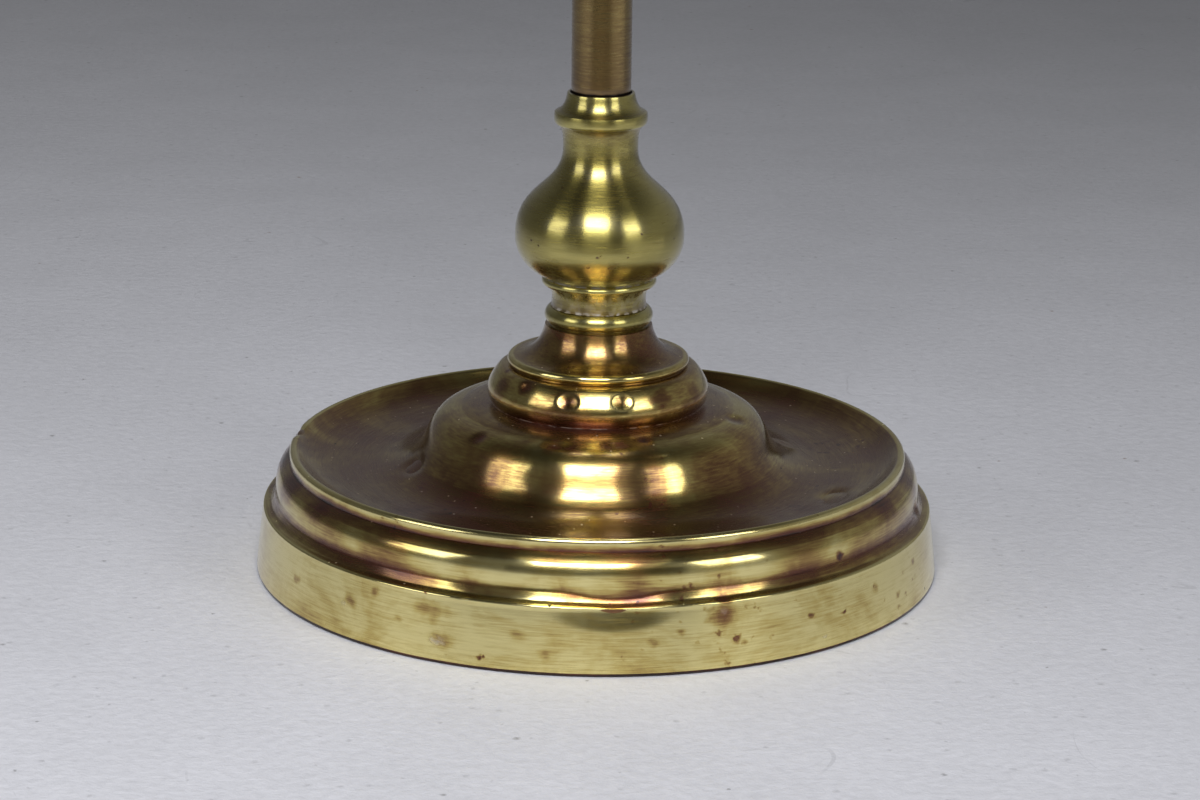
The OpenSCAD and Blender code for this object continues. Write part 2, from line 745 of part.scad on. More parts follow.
module arm_ferrule() {
    sleeve_r = arm_r + 1.4;
    outside = concat(
        [[sleeve_r - 0.6, 0], [sleeve_r, 0.6], [sleeve_r, 4]],
        round_off([sleeve_r + 0.2, 5.8], 1.7, -80, 80, 6),
        [[sleeve_r, 8], [sleeve_r, ferrule_lap + 3], [sleeve_r - 0.8, ferrule_lap + 5]]
    );
    color([0.74, 0.66, 0.30])
        translate([arm_x1 - ferrule_lap, 0, head_z]) along_x() difference() {
            turned(outside);
            translate([0, 0, -1]) cylinder(r = arm_r + fit_gap, h = ferrule_lap + 1);
            cylinder(r = tip_spigot_r + fit_gap, h = ferrule_lap + 10);
        }
}

module arm_spigot() {
    color([0.6, 0.6, 0.62]) translate([0, 0, head_z]) along_x() {
        tube(arm_bore_r - fit_gap, tip_bore_r, arm_x1 - 8, arm_x1 - face_gap);
        tube(tip_spigot_r, tip_bore_r, arm_x1 - 1, tip_x0 + tip_barrel_len + face_gap + tip_nut_t);
    }
}

module tip_nut() {
    color([0.72, 0.6, 0.3]) translate([tip_x0 + tip_barrel_len + face_gap, 0, head_z])
        along_x() tube(tip_spigot_r + 2, tip_spigot_r + fit_gap, 0, tip_nut_t);
}

module tip_fork() {
    barrel_r = arm_r + 2;
    root = shade_pivot_x - tip_x0 - tip_barrel_len + 0.5;
    plate_t = 2.5;
    barrel = concat(
        [[barrel_r - 0.8, 0], [barrel_r, 0.8], [barrel_r, 2.4]],
        curve([barrel_r - 0.8, 3], [barrel_r - 1.2, 4],
              [barrel_r - 0.6, 5.6], [barrel_r + 0.6, tip_barrel_len - plate_t], 5),
        [[barrel_r + 0.6, tip_barrel_len]]
    );
    color([0.74, 0.66, 0.30]) difference() {
        union() {
            translate([tip_x0, 0, head_z]) along_x() turned(barrel);
            translate([tip_x0 + tip_barrel_len - plate_t, -ear_y1, head_z - knuckle_r])
                cube([plate_t, 2 * ear_y1, 2 * knuckle_r]);
            at_shade_pivot() fork_ears(root);
        }
        translate([tip_x0 - 1, 0, head_z]) along_x()
            cylinder(r = tip_spigot_r + run_gap, h = tip_barrel_len + 2);
        translate([tip_x0 + tip_barrel_len, 0, head_z]) along_x()
            cylinder(r = tip_spigot_r + 2 + touch_gap, h = tip_nut_t + 1);
    }
}

module shade_screw() { color([0.6, 0.5, 0.28]) at_shade_pivot() knuckle_screw(); }
module shade_washers() { color([0.42, 0.16, 0.12]) at_shade_pivot() knuckle_washers(); }
module shade_wing_nut() { color([0.74, 0.66, 0.30]) at_shade_pivot() wing_nut(); }

// ---------------------------------------------------------------- shade and lampholder

module shade_knuckle() {
    boss_r = 7.4;
    boss = [
        [boss_r - 1, 0], [boss_r, 1], [boss_r, 2.6], [boss_r - 1.2, 3.6], [boss_r - 1.2, 5.6],
        [boss_r, holder_boss_len - 1.4], [boss_r, holder_boss_len]
    ];
    color([0.74, 0.66, 0.30]) difference() {
        union() {
            at_shade_pivot() rotate([0, 90, 0]) knuckle_eye(shade_neck + 1);
            at_shade_axis() translate([0, 0, cap_z + holder_boss_len]) mirror([0, 0, 1]) turned(boss);
        }
        at_shade_axis() translate([0, 0, cap_z - 1]) cylinder(r = spigot_r + fit_gap, h = 7);
    }
}

module holder_nipple() {
    color([0.6, 0.6, 0.62]) at_shade_axis() tube(spigot_r, spigot_bore_r, cap_z - 7, cap_z + 6);
}

module holder_cap() {
    top_t = 2;
    outside = concat(
        [[holder_r + 0.5, body_z1], [holder_r + 0.5, body_z1 + 3]],
        curve([holder_r + 0.2, body_z1 + 3.6], [holder_r - 0.6, body_z1 + 9],
              [12, cap_z - 3.5], [10, cap_z - 1], 8),
        [[9, cap_z]]
    );
    inside = concat(
        [[0, body_z1 - 1], [holder_r - holder_wall, body_z1 - 1],
         [holder_r - holder_wall, body_z1 + 3]],
        curve([holder_r - holder_wall, body_z1 + 3.2], [holder_r - 2.4, body_z1 + 7],
              [11, cap_z - 5.5], [9, cap_z - 3], 6),
        [[spigot_r + 3, cap_z - top_t], [0, cap_z - top_t]]
    );
    color([0.74, 0.66, 0.30]) at_shade_axis() difference() {
        turned(outside);
        rotate_extrude() polygon(inside);
        translate([0, 0, cap_z - 3]) cylinder(r = spigot_r + fit_gap, h = 5);
    }
}

module holder_body() {
    inner_r = holder_r - holder_wall;
    thread_pitch = 2;
    turns = 10;
    rings = [
        for (i = [0:turns - 1])
            for (k = [0, 1])
                [holder_r - 0.5 * k, body_z0 + 1 + (i + 0.5 * k) * thread_pitch]
    ];
    outside = concat(
        [[holder_r - 0.6, body_z0]], rings,
        [[holder_r, body_z0 + 1 + turns * thread_pitch], [holder_r, body_z1]]
    );
    color([0.74, 0.66, 0.30]) at_shade_axis() difference() {
        union() {
            turned(outside, inner_r);
            translate([0, 0, key_z]) along_y() tube(3.6, 1.9, holder_r - 0.7, holder_r + 3);
        }
        translate([0, 0, key_z]) along_y() cylinder(r = 1.8 + run_gap, h = 2 * holder_r);
    }
}

// A knurled ring that clamps the shade on the lampholder
module shade_ring(z0) {
    color([0.74, 0.66, 0.30]) at_shade_axis() translate([0, 0, z0])
        difference() {
            knurled(ring_r, shade_ring_t, 60, 0.5);
            translate([0, 0, -1]) cylinder(r = holder_r + fit_gap, h = shade_ring_t + 2);
        }
}

module upper_shade_ring() { shade_ring(shade_top_z + shade_sheet / 2); }
module lower_shade_ring() { shade_ring(shade_top_z - shade_sheet / 2 - shade_ring_t); }

module holder_porcelain() {
    terminal_x = 8;
    color([0.93, 0.92, 0.88]) at_shade_axis() difference() {
        translate([0, 0, thread_z1 - 1]) cylinder(r = porcelain_r, h = porcelain_t);
        translate([0, 0, thread_z1 - 2]) cylinder(r = thread_r + fit_gap, h = 2);
        translate([0, 0, thread_z1 - 2]) cylinder(r = 2.5 + fit_gap, h = porcelain_t + 2);
        for (side = [-1, 1])
            translate([side * terminal_x, 0, thread_z1 + porcelain_t - 7])
                cylinder(r = 1.6 + fit_gap, h = 7);
        translate([-3, porcelain_r - 3, thread_z1 - 2]) cube([6, 4, porcelain_t + 2]);
    }
}

module holder_thread() {
    color([0.7, 0.58, 0.3]) at_shade_axis()
        tube(thread_r, thread_r - thread_wall, thread_z0, thread_z1);
}

// Sprung centre contact under the bulb's tip
module centre_contact() {
    color([0.8, 0.68, 0.4]) at_shade_axis() {
        translate([0, 0, thread_z1 - 2.2]) cylinder(r = 4, h = 1);
        translate([0, 0, thread_z1 - 1.4]) cylinder(r = 2.5, h = porcelain_t - 2);
    }
}

module terminal_screws() {
    terminal_x = 8;
    color([0.72, 0.6, 0.3]) at_shade_axis() for (side = [-1, 1])
        translate([side * terminal_x, 0, thread_z1 + porcelain_t - 6.8]) {
            cylinder(r = 1.6, h = 6);
            translate([0, 0, 5.8]) difference() {
                cylinder(r = 2.8, h = 1.8);
                translate([-3, -0.35, 1]) cube([6, 0.7, 1]);
            }
        }
}

// Turn key of the switch: a stem with a flat waisted grip
module switch_key() {
    grip_t = 2.4;
    grip_x = 5.5;
    stem_y0 = porcelain_r - 2.6;
    stem_y1 = holder_r + 7;
    color([0.74, 0.66, 0.30]) at_shade_axis() translate([0, 0, key_z]) {
        translate([0, stem_y0, 0]) along_y() cylinder(r = 1.8, h = stem_y1 - stem_y0);
        translate([0, stem_y1 - 1, 0]) along_y() turned([[2.6, 0], [2.6, 1.6], [1.8, 2.6]]);
        for (side = [-1, 1])
            translate([side * grip_x, stem_y1 + 5, -grip_t / 2]) cylinder(r = 4.5, h = grip_t);
        translate([-grip_x, stem_y1 + 0.5, -grip_t / 2]) cube([2 * grip_x, 7, grip_t]);
    }
}

module shade() {
    crown_r = ring_r + 3.5;
    waist_r = shade_r - 5.4;
    z = shade_top_z + shade_sheet / 2;
    outside = concat(
        curve([shade_r - edge_r, mouth_z + 2 * edge_r - 0.5], [shade_r - 3.2, mouth_z + 9],
              [waist_r + 0.4, mouth_z + 13], [waist_r, mouth_z + 17], 8),
        curve([waist_r - 0.1, mouth_z + 17.5], [waist_r - 3.6, mouth_z + 52],
              [shade_r * 0.66, z - 17], [crown_r + 6, z - 9], 16),
        curve([crown_r + 5.5, z - 8.9], [crown_r + 1.5, z - 8.2], [crown_r + 1, z - 6],
              [crown_r + 0.6, z - 3], 5),
        round_off([crown_r - 1.6, z - 2.2], 2.2, 0, 90, 5),
        [[holder_r + fit_gap, z]]
    );
    color([0.80, 0.64, 0.30]) at_shade_axis() difference() {
        rotate_extrude($fn = 144) {
            polygon(concat(outside, reversed(inset(outside, shade_sheet))));
            translate([shade_r - edge_r, mouth_z + edge_r]) circle(r = edge_r, $fn = 24);
        }
        for (i = [0:vents - 1])
            rotate([0, 0, 360 * (i + 0.5) / vents])
                translate([crown_r + 12, 0, z - 24]) cylinder(r = 3, h = 24, $fn = 48);
    }
}

module bulb_cap() {
    threads = [
        for (i = [0:4])
            for (k = [0:3])
                [bulb_cap_r - 0.45 + 0.45 * cos(90 * k), bulb_cap_z1 - 18 + (i + k / 4) * 3]
    ];
    outside = concat(
        [[bulb_cap_r - 0.6, bulb_cap_z1 - bulb_cap_len]], threads,
        [[bulb_cap_r - 1, bulb_cap_z1 - 2], [7, bulb_cap_z1]]
    );
    color([0.75, 0.74, 0.7]) at_shade_axis() turned(outside, 5);
}

module bulb_contact() {
    color([0.15, 0.15, 0.16]) at_shade_axis()
        turned([[5 - fit_gap, bulb_cap_z1 - 3], [5 - fit_gap, bulb_cap_z1], [4, bulb_cap_z1 + 1.2],
                [2.5, bulb_cap_z1 + 2.4]]);
}

module bulb_glass() {
    wall = 0.9;
    glass_r = bulb_cap_r - 1.4;
    top_z = bulb_cap_z1 - bulb_cap_len;
    join = asin((glass_r + 2.5) / globe_r);
    outside = concat(
        round_off([0, globe_z], globe_r, -90, 90 - join, 22),
        curve([glass_r + 2, globe_z + globe_r * cos(join) + 0.8], [glass_r + 0.6, top_z - 4],
              [glass_r, top_z - 2], [glass_r, top_z], 5)
    );
    inner = inset(outside, wall);
    inside = concat([[0, globe_z - globe_r + wall]], [for (i = [1:len(inner) - 1]) inner[i]]);
    color([0.95, 0.94, 0.9]) at_shade_axis()
        rotate_extrude() polygon(concat(outside, reversed(inside)));
}

base_shell();
base_weight();
felt_pad();
weight_spacer();
tie_rod();
tie_washer();
tie_nut();
flex_gland();
gland_nut();
baluster();
pole_plug();
lower_pole();
pole_collar();
collar_bush();
height_screw();
upper_pole();
guide_ring();
stop_ring();
head_socket();
swivel_spigot();
swivel_washer();
swivel_finial();
outlet_bush();
swivel_block();
arm_screw();
arm_washers();
arm_wing_nut();
arm_knuckle();
arm_tube();
inlet_bush();
arm_ferrule();
arm_spigot();
tip_nut();
tip_fork();
shade_screw();
shade_washers();
shade_wing_nut();
shade_knuckle();
holder_nipple();
holder_cap();
holder_body();
upper_shade_ring();
lower_shade_ring();
holder_porcelain();
holder_thread();
centre_contact();
terminal_screws();
switch_key();
shade();
bulb_cap();
bulb_contact();
bulb_glass();
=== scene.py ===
"""Pharmacy floor lamp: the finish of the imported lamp, with its floor, light and camera.

Outlines are in millimetres as (radius, height), from a piece's foot upwards. Meshes are in metres.
"""
import functools
import json
import math

import bmesh
import bpy
import numpy as np
from mathutils import Matrix, Vector, noise


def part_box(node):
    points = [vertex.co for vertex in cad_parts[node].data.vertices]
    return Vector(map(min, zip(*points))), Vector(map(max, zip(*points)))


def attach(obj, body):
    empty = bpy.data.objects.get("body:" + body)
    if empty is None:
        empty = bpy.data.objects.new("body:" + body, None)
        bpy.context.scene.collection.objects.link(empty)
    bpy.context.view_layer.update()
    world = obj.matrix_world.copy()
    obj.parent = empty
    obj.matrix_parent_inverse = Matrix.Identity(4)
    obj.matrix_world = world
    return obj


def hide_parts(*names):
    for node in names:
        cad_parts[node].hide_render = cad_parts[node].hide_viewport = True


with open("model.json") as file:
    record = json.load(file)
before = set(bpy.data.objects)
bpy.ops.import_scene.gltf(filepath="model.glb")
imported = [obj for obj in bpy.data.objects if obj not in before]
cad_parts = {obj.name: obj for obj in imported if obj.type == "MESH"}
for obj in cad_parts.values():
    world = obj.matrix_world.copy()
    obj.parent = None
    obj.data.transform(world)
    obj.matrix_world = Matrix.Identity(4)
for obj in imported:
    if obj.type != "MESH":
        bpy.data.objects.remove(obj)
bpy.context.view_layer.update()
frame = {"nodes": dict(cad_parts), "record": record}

# ---------------------------------------------------------------- sizes

MM = 0.001
X, Z = 0, 2
corners = {node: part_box(node) for node in frame["nodes"]}


def low(node, axis=Z):
    """A node's lowest coordinate on an axis, in millimetres."""
    return corners[node][0][axis] / MM


def high(node, axis=Z):
    """A node's highest coordinate on an axis, in millimetres."""
    return corners[node][1][axis] / MM


# Base, as radii and as heights above the floor
base_r = -low("base_shell", X)
foot_z = low("base_shell")
neck_z = high("base_shell")
skirt_top_r = base_r - 2.5
skirt_h = 22.6
rim_r = base_r - 11.9
rim_z = skirt_h + 19.9
dish_z = rim_z - 7
dome_r = 65
torus_r = 38
lip_r = 31.6
neck_r = 18.6
shoulder_z = rim_z + 14
shoulder_r = torus_r + 10
crease_r = torus_r - 1
crease_z = shoulder_z + 1.9
lip_z = shoulder_z + 17.2
base_sheet = 1.2

# Poles and their turned pieces. The rods and nipples that hold them are 10 across.
rod_hole_r = 5.05
lower_r = high("lower_pole", X)
lower_z0 = low("lower_pole")
lower_z1 = high("lower_pole")
upper_r = high("upper_pole", X)
upper_z0 = low("upper_pole")
upper_z1 = high("upper_pole")
tube_wall = 1.2
baluster_z1 = high("baluster")
bulge_r = high("baluster", X)
throat_r = 12.9
collar_z0 = low("pole_collar")
collar_z1 = high("pole_collar")
screw_z = (low("height_screw") + high("height_screw")) / 2
socket_z0 = low("head_socket")
socket_z1 = high("head_socket")
block_z0 = low("swivel_block")
block_z1 = high("swivel_block")
block_r = 12

# Arm, along X at the head's height
head_z = (block_z0 + block_z1) / 2
arm_r = (high("arm_tube") - low("arm_tube")) / 2
arm_x0 = low("arm_tube", X)
arm_x1 = high("arm_tube", X)

# Shade and lampholder, about the vertical line through the shade's pivot
shade_x = (low("shade", X) + high("shade", X)) / 2
shade_r = (high("shade", X) - low("shade", X)) / 2
mouth_z = low("shade")
holder_r = 19.5
holder_bore_r = 18.3
body_z0 = low("holder_body")
body_z1 = high("holder_body")
cap_z = high("holder_cap")
key_z = (low("switch_key") + high("switch_key")) / 2
bulb_cap_z1 = high("bulb_cap")
ring_r = holder_r + 7

bodies = frame["record"]["behaviour"]["bodies"]
body_of = {node: body for body, members in bodies.items() for node in members}


# ---------------------------------------------------------------- outlines


def curve(p0, p1, p2, p3, steps=14):
    """Points along a cubic curve."""
    points = []
    for i in range(steps + 1):
        t = i / steps
        s = 1 - t
        weights = (s * s * s, 3 * s * s * t, 3 * s * t * t, t * t * t)
        points.append(tuple(sum(w * p[k] for w, p in zip(weights, (p0, p1, p2, p3))) for k in (0, 1)))
    return points


def arc(centre, radius, start, end, steps=8):
    """Points along a round stretch, with its angles in degrees."""
    points = []
    for i in range(steps + 1):
        angle = math.radians(start + (end - start) * i / steps)
        points.append((centre[0] + radius * math.cos(angle), centre[1] + radius * math.sin(angle)))
    return points


def inset(path, depth):
    """The same path moved to its left, square to it."""
    path = [Vector(p[:2]) for p in path]
    lefts = [Vector((a.y - b.y, b.x - a.x)).normalized() for a, b in zip(path, path[1:])]
    moved = []
    for i, point in enumerate(path):
        both = lefts[max(i - 1, 0)] + lefts[min(i, len(lefts) - 1)]
        moved.append(tuple(point + both * (2 * depth / both.length_squared)))
    return moved


# What a point of an outline carries after its radius and its height
MARKS = ("tarnish", "chalk", "lined", "knurl")
PLAIN_TARNISH = 0.3


def worn(points, start, end=None, chalk=0.0, lined=0.0, knurl=0.0):
    """The points with how brown the brass is on them, from start to end, and what else lies on them."""
    end = start if end is None else end
    last = max(len(points) - 1, 1)
    return [(*p[:2], start + (end - start) * i / last, chalk, lined, knurl) for i, p in enumerate(points)]


# ---------------------------------------------------------------- node trees

MATH, VECTOR, RANGE, MIX = "ShaderNodeMath", "ShaderNodeVectorMath", "ShaderNodeMapRange", "ShaderNodeMix"
NOISE, CELLS, RAMP = "ShaderNodeTexNoise", "ShaderNodeTexVoronoi", "ShaderNodeValToRGB"
SPLIT, JOIN = "ShaderNodeSeparateXYZ", "ShaderNodeCombineXYZ"


def colour(code):
    """A colour written as an sRGB hex value, as linear RGBA."""
    parts = [int(code[i:i + 2], 16) / 255 for i in (1, 3, 5)]
    return (*(c / 12.92 if c <= 0.04045 else ((c + 0.055) / 1.055) ** 2.4 for c in parts), 1.0)


def add(tree, kind, links=(), stops=(), **settings):
    """Adds a node. links gives its inputs, in order or by name; a node there stands for its live output.

    stops are a colour ramp's places, each with its sRGB hex colour or its grey level.
    """
    node = tree.nodes.new(kind)
    for name, value in settings.items():
        setattr(node, name, value)
    for key, value in links.items() if isinstance(links, dict) else enumerate(links):
        named = (s for s in node.inputs if s.enabled and s.name == key)
        socket = node.inputs[key] if isinstance(key, int) else next(named)
        if isinstance(value, bpy.types.Node):
            value = next(s for s in value.outputs if s.enabled)
        if isinstance(value, bpy.types.NodeSocket):
            tree.links.new(value, socket)
        else:
            socket.default_value = value
    for i, (position, value) in enumerate(stops):
        elements = node.color_ramp.elements
        element = elements[i] if i < len(elements) else elements.new(position)
        element.position = position
        element.color = colour(value) if isinstance(value, str) else (value, value, value, 1.0)
    return node


def new_tree(name, inputs):
    """An empty node tree on meshes, with its named inputs, the way to add to it and what it is given."""
    tree = bpy.data.node_groups.new(name, "GeometryNodeTree")
    for socket, kind in inputs.items():
        tree.interface.new_socket(socket, in_out="INPUT", socket_type="NodeSocket" + kind)
    tree.interface.new_socket("Result", in_out="OUTPUT", socket_type="NodeSocketGeometry")
    put = functools.partial(add, tree)
    return tree, put, put("NodeGroupInput").outputs


def turning_tree():
    """Sweeps an outline round Z, with straight knurls where the outline asks for them."""
    tree, put, given = new_tree("turning", {"Outline": "Geometry", "Steps": "Int", "Knurls": "Int",
                                            "Knurl depth": "Float", "Finish": "Material"})
    size = put("GeometryNodeAttributeDomainSize", {"Geometry": given["Outline"]})
    rows = size.outputs["Point Count"]
    columns = put(MATH, (given["Steps"], 1.0), operation="ADD")
    grid = put("GeometryNodeMeshGrid",
               {"Size X": 1.0, "Size Y": 1.0, "Vertices X": columns, "Vertices Y": rows})
    index = put("GeometryNodeInputIndex")
    row = put("FunctionNodeIntegerMath", (index, rows), operation="MODULO")
    column = put("FunctionNodeIntegerMath", (index, rows), operation="DIVIDE_FLOOR")
    turn_step = put(MATH, (2 * math.pi, given["Steps"]), operation="DIVIDE")
    angle = put(MATH, (column, turn_step), operation="MULTIPLY")

    taken = {}
    for mark in MARKS:
        value = put("GeometryNodeInputNamedAttribute", {"Name": mark}, data_type="FLOAT")
        taken[mark] = put("GeometryNodeSampleIndex",
                          {"Geometry": given["Outline"], "Value": value, "Index": row}, data_type="FLOAT")
    here = put("GeometryNodeInputPosition")
    point = put("GeometryNodeSampleIndex",
                {"Geometry": given["Outline"], "Value": here, "Index": row}, data_type="FLOAT_VECTOR")
    split = put(SPLIT, (point,)).outputs

    toothed = put(MATH, (angle, given["Knurls"]), operation="MULTIPLY")
    wave = put(MATH, (toothed,), operation="COSINE")
    groove = put(MATH, (wave, -0.5, 0.5), operation="MULTIPLY_ADD")
    depth = put(MATH, (taken["knurl"], given["Knurl depth"]), operation="MULTIPLY")
    cut = put(MATH, (groove, depth), operation="MULTIPLY")
    radius = put(MATH, (split["X"], cut), operation="SUBTRACT")
    east = put(MATH, (radius, put(MATH, (angle,), operation="COSINE")), operation="MULTIPLY")
    north = put(MATH, (radius, put(MATH, (angle,), operation="SINE")), operation="MULTIPLY")
    place = put(JOIN, (east, north, split["Z"]))
    shape = put("GeometryNodeSetPosition", {"Geometry": grid, "Position": place})
    for mark in ("tarnish", "chalk", "lined"):
        shape = put("GeometryNodeStoreNamedAttribute",
                    {"Geometry": shape, "Name": mark, "Value": taken[mark]}, data_type="FLOAT")
    shape = put("GeometryNodeMergeByDistance", {"Geometry": shape, "Distance": 2e-6})
    shape = put("GeometryNodeRealizeInstances", {"Geometry": shape})
    shape = put("GeometryNodeSetMaterial", {"Geometry": shape, "Material": given["Finish"]})
    put("NodeGroupOutput", {"Result": shape})
    return tree


def baked(piece, tree=None, **inputs):
    """The piece as a plain mesh, after a node tree with these inputs, or after the modifiers it has."""
    if tree:
        modifier = piece.modifiers.new(tree.name, "NODES")
        modifier.node_group = tree
        for socket in tree.interface.items_tree:
            key = socket.name.replace(" ", "_")
            if socket.in_out == "INPUT" and key in inputs:
                modifier[socket.identifier] = inputs[key]
    seen = piece.evaluated_get(bpy.context.evaluated_depsgraph_get())
    mesh = bpy.data.meshes.new_from_object(seen, preserve_all_data_layers=True,
                                           depsgraph=bpy.context.evaluated_depsgraph_get())
    piece.modifiers.clear()
    piece.data = mesh
    return piece


def crease(mesh, angle=32):
    """Smooth shading that breaks where two faces meet at more than the angle."""
    mesh.shade_smooth()
    mesh.set_sharp_from_angle(angle=math.radians(angle))


def upright(x=0.0, y=0.0, z=0.0):
    return Matrix.Translation(Vector((x, y, z)) * MM)


def lying(x, z):
    """Turned about a line along X at this height, with its foot at x."""
    return upright(x, 0, z) @ Matrix.Rotation(math.radians(90), 4, "Y")


def new_piece(name, mesh):
    piece = bpy.data.objects.new(name, mesh)
    bpy.context.scene.collection.objects.link(piece)
    return piece


TURNING = turning_tree()


def turn(name, outline, finish, steps=160, place=None, knurls=0, knurl_depth=0.0):
    """A turned piece. An outline that ends where it starts is a ring, any other is closed at its axis."""
    mesh = bpy.data.meshes.new(name)
    outline = [p if len(p) > 2 else worn([p], PLAIN_TARNISH)[0] for p in outline]
    edges = [(i, i + 1) for i in range(len(outline) - 1)]
    mesh.from_pydata([(p[0] * MM, 0, p[1] * MM) for p in outline], edges, [])
    for column, mark in enumerate(MARKS, 2):
        layer = mesh.attributes.new(mark, "FLOAT", "POINT")
        layer.data.foreach_set("value", [p[column] for p in outline])
    piece = baked(new_piece(name, mesh), TURNING, Steps=steps, Knurls=knurls, Knurl_depth=knurl_depth * MM,
                  Finish=finish)
    mesh = piece.data
    work = bmesh.new()
    work.from_mesh(mesh)
    bmesh.ops.recalc_face_normals(work, faces=work.faces)
    work.to_mesh(mesh)
    work.free()
    if place:
        mesh.transform(place)
    crease(mesh)
    return piece


def solid(path, bore_r=0.0):
    """A closed outline from an outer path and a straight bore, or the axis."""
    first, last = path[0], path[-1]
    if bore_r:
        return [*path, (bore_r, last[1]), (bore_r, first[1]), first]
    return [(0.0, first[1]), *path, (0.0, last[1])]


def refine(name, node, finish, bevel=0.3, segments=2, sharp=32):
    """A copy of a CAD node with its triangles joined into flats and its edges broken."""
    work = bmesh.new()
    work.from_mesh(frame["nodes"][node].data)
    bmesh.ops.remove_doubles(work, verts=work.verts, dist=1e-6)
    bmesh.ops.dissolve_limit(work, angle_limit=math.radians(0.4), verts=work.verts, edges=work.edges)
    if bevel:
        edges = [e for e in work.edges if e.is_manifold and e.calc_face_angle() > math.radians(sharp)]
        bmesh.ops.bevel(work, geom=edges, offset=bevel * MM, segments=segments, profile=0.5,
                        affect="EDGES", clamp_overlap=True)
    mesh = bpy.data.meshes.new(name)
    work.to_mesh(mesh)
    work.free()
    mesh.materials.append(finish)
    crease(mesh, 38)
    return new_piece(name, mesh)


def settle(piece, slot, *nodes, body=None):
    """The finished piece rides on its body and stands for its CAD nodes, which it hides. Its slot is not
    used.
    """
    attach(piece, body or body_of[nodes[0]])
    if nodes:
        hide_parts(*nodes)
    return piece


# ---------------------------------------------------------------- materials


def new_material(name, **shader):
    """A material with its shader's plain values set."""
    material = bpy.data.materials.new(name)
    material.use_nodes = True
    principled = material.node_tree.nodes["Principled BSDF"]
    for key, value in shader.items():
        principled.inputs[key.replace("_", " ")].default_value = value
    return material, functools.partial(add, material.node_tree), principled


def wire(shader, **sources):
    """Links nodes to a shader's inputs."""
    for key, node in sources.items():
        source = next(s for s in node.outputs if s.enabled)
        shader.id_data.links.new(source, shader.inputs[key.replace("_", " ")])


def swept_noise(put, around, radius, height, along, across, detail=3.0):
    """Noise drawn out round the turn: along is repeats per radian, across is repeats per metre."""
    turned = put(VECTOR, {0: around, "Scale": along}, operation="SCALE")
    outward = put(MATH, (radius, across), operation="MULTIPLY")
    upward = put(MATH, (height, across), operation="MULTIPLY")
    lifted = put("ShaderNodeCombineXYZ", {"Z": outward})
    place = put(VECTOR, (turned, lifted), operation="ADD")
    return put(NOISE, {"Vector": place, "W": upward, "Scale": 1.0, "Detail": detail}, noise_dimensions="4D")


def marks_at(put, own, marks, ragged=0.004):
    """How deep a point is in any of the marks, whose edges are ragged by this many metres.

    A mark is a place, a size in millimetres and a depth. It is wide rather than tall.
    """
    wander = put(NOISE, {"Vector": own, "Scale": RAGS, "Detail": 3.0})
    centred = put(VECTOR, (wander.outputs["Color"], (0.5, 0.5, 0.5)), operation="SUBTRACT")
    shaken = put(VECTOR, (centred, (ragged, ragged, ragged), own), operation="MULTIPLY_ADD")
    squat = put(VECTOR, (shaken, MARK_SHAPE), operation="MULTIPLY")
    deepest = None
    for place, size, depth in marks:
        away = put(VECTOR, (squat, place * MARK_SHAPE), operation="DISTANCE")
        mark = put(RANGE, (away, 0.1 * size * MM, size * MM, depth, 0.0), interpolation_type="SMOOTHSTEP")
        deepest = mark if deepest is None else put(MATH, (deepest, mark), operation="MAXIMUM")
    return deepest


SPUN_TONES = ((0.0, "#e6d894"), (0.2, "#cdb86c"), (0.38, "#a5854a"), (0.54, "#825c35"), (0.7, "#683c2b"),
              (0.85, "#48271c"), (1.0, "#2a1812"))
TURNED_TONES = ((0.0, "#c9be70"), (0.3, "#aa9d52"), (0.55, "#85723c"), (0.8, "#5b482c"), (1.0, "#3d2f20"))
TUBE_TONES = ((0.0, "#c2ae70"), (0.3, "#a1894f"), (0.5, "#836939"), (0.8, "#5e452b"), (1.0, "#2c1e16"))
MARK_SHAPE = Vector((1.0, 1.0, 1.35))
# How a pattern is turned so that its rings run about each axis
AXIS_TURNS = {"Z": (0.0, 0.0, 0.0), "X": (0.0, math.radians(90), 0.0)}
# Repeats in a metre: clouds of tarnish 30 mm wide, specks 4 mm apart in groups of 40 mm, crumbs of old polish
# and motes of dust 2.4 mm apart, cells of 4 mm that may each hold a pit, ragged edges in steps of 4.5 mm
CLOUDS, SPECKS, GROUPS, CRUMBS, MOTES, PITS, RAGS = 34.0, 240.0, 24.0, 420.0, 420.0, 260.0, 220.0
# Depths in metres
RING_DEPTH = 0.000012
PIT_DEPTH = 0.0002
GREY_DUST = "#a39d93"
PIT_BROWN = "#2b2318"


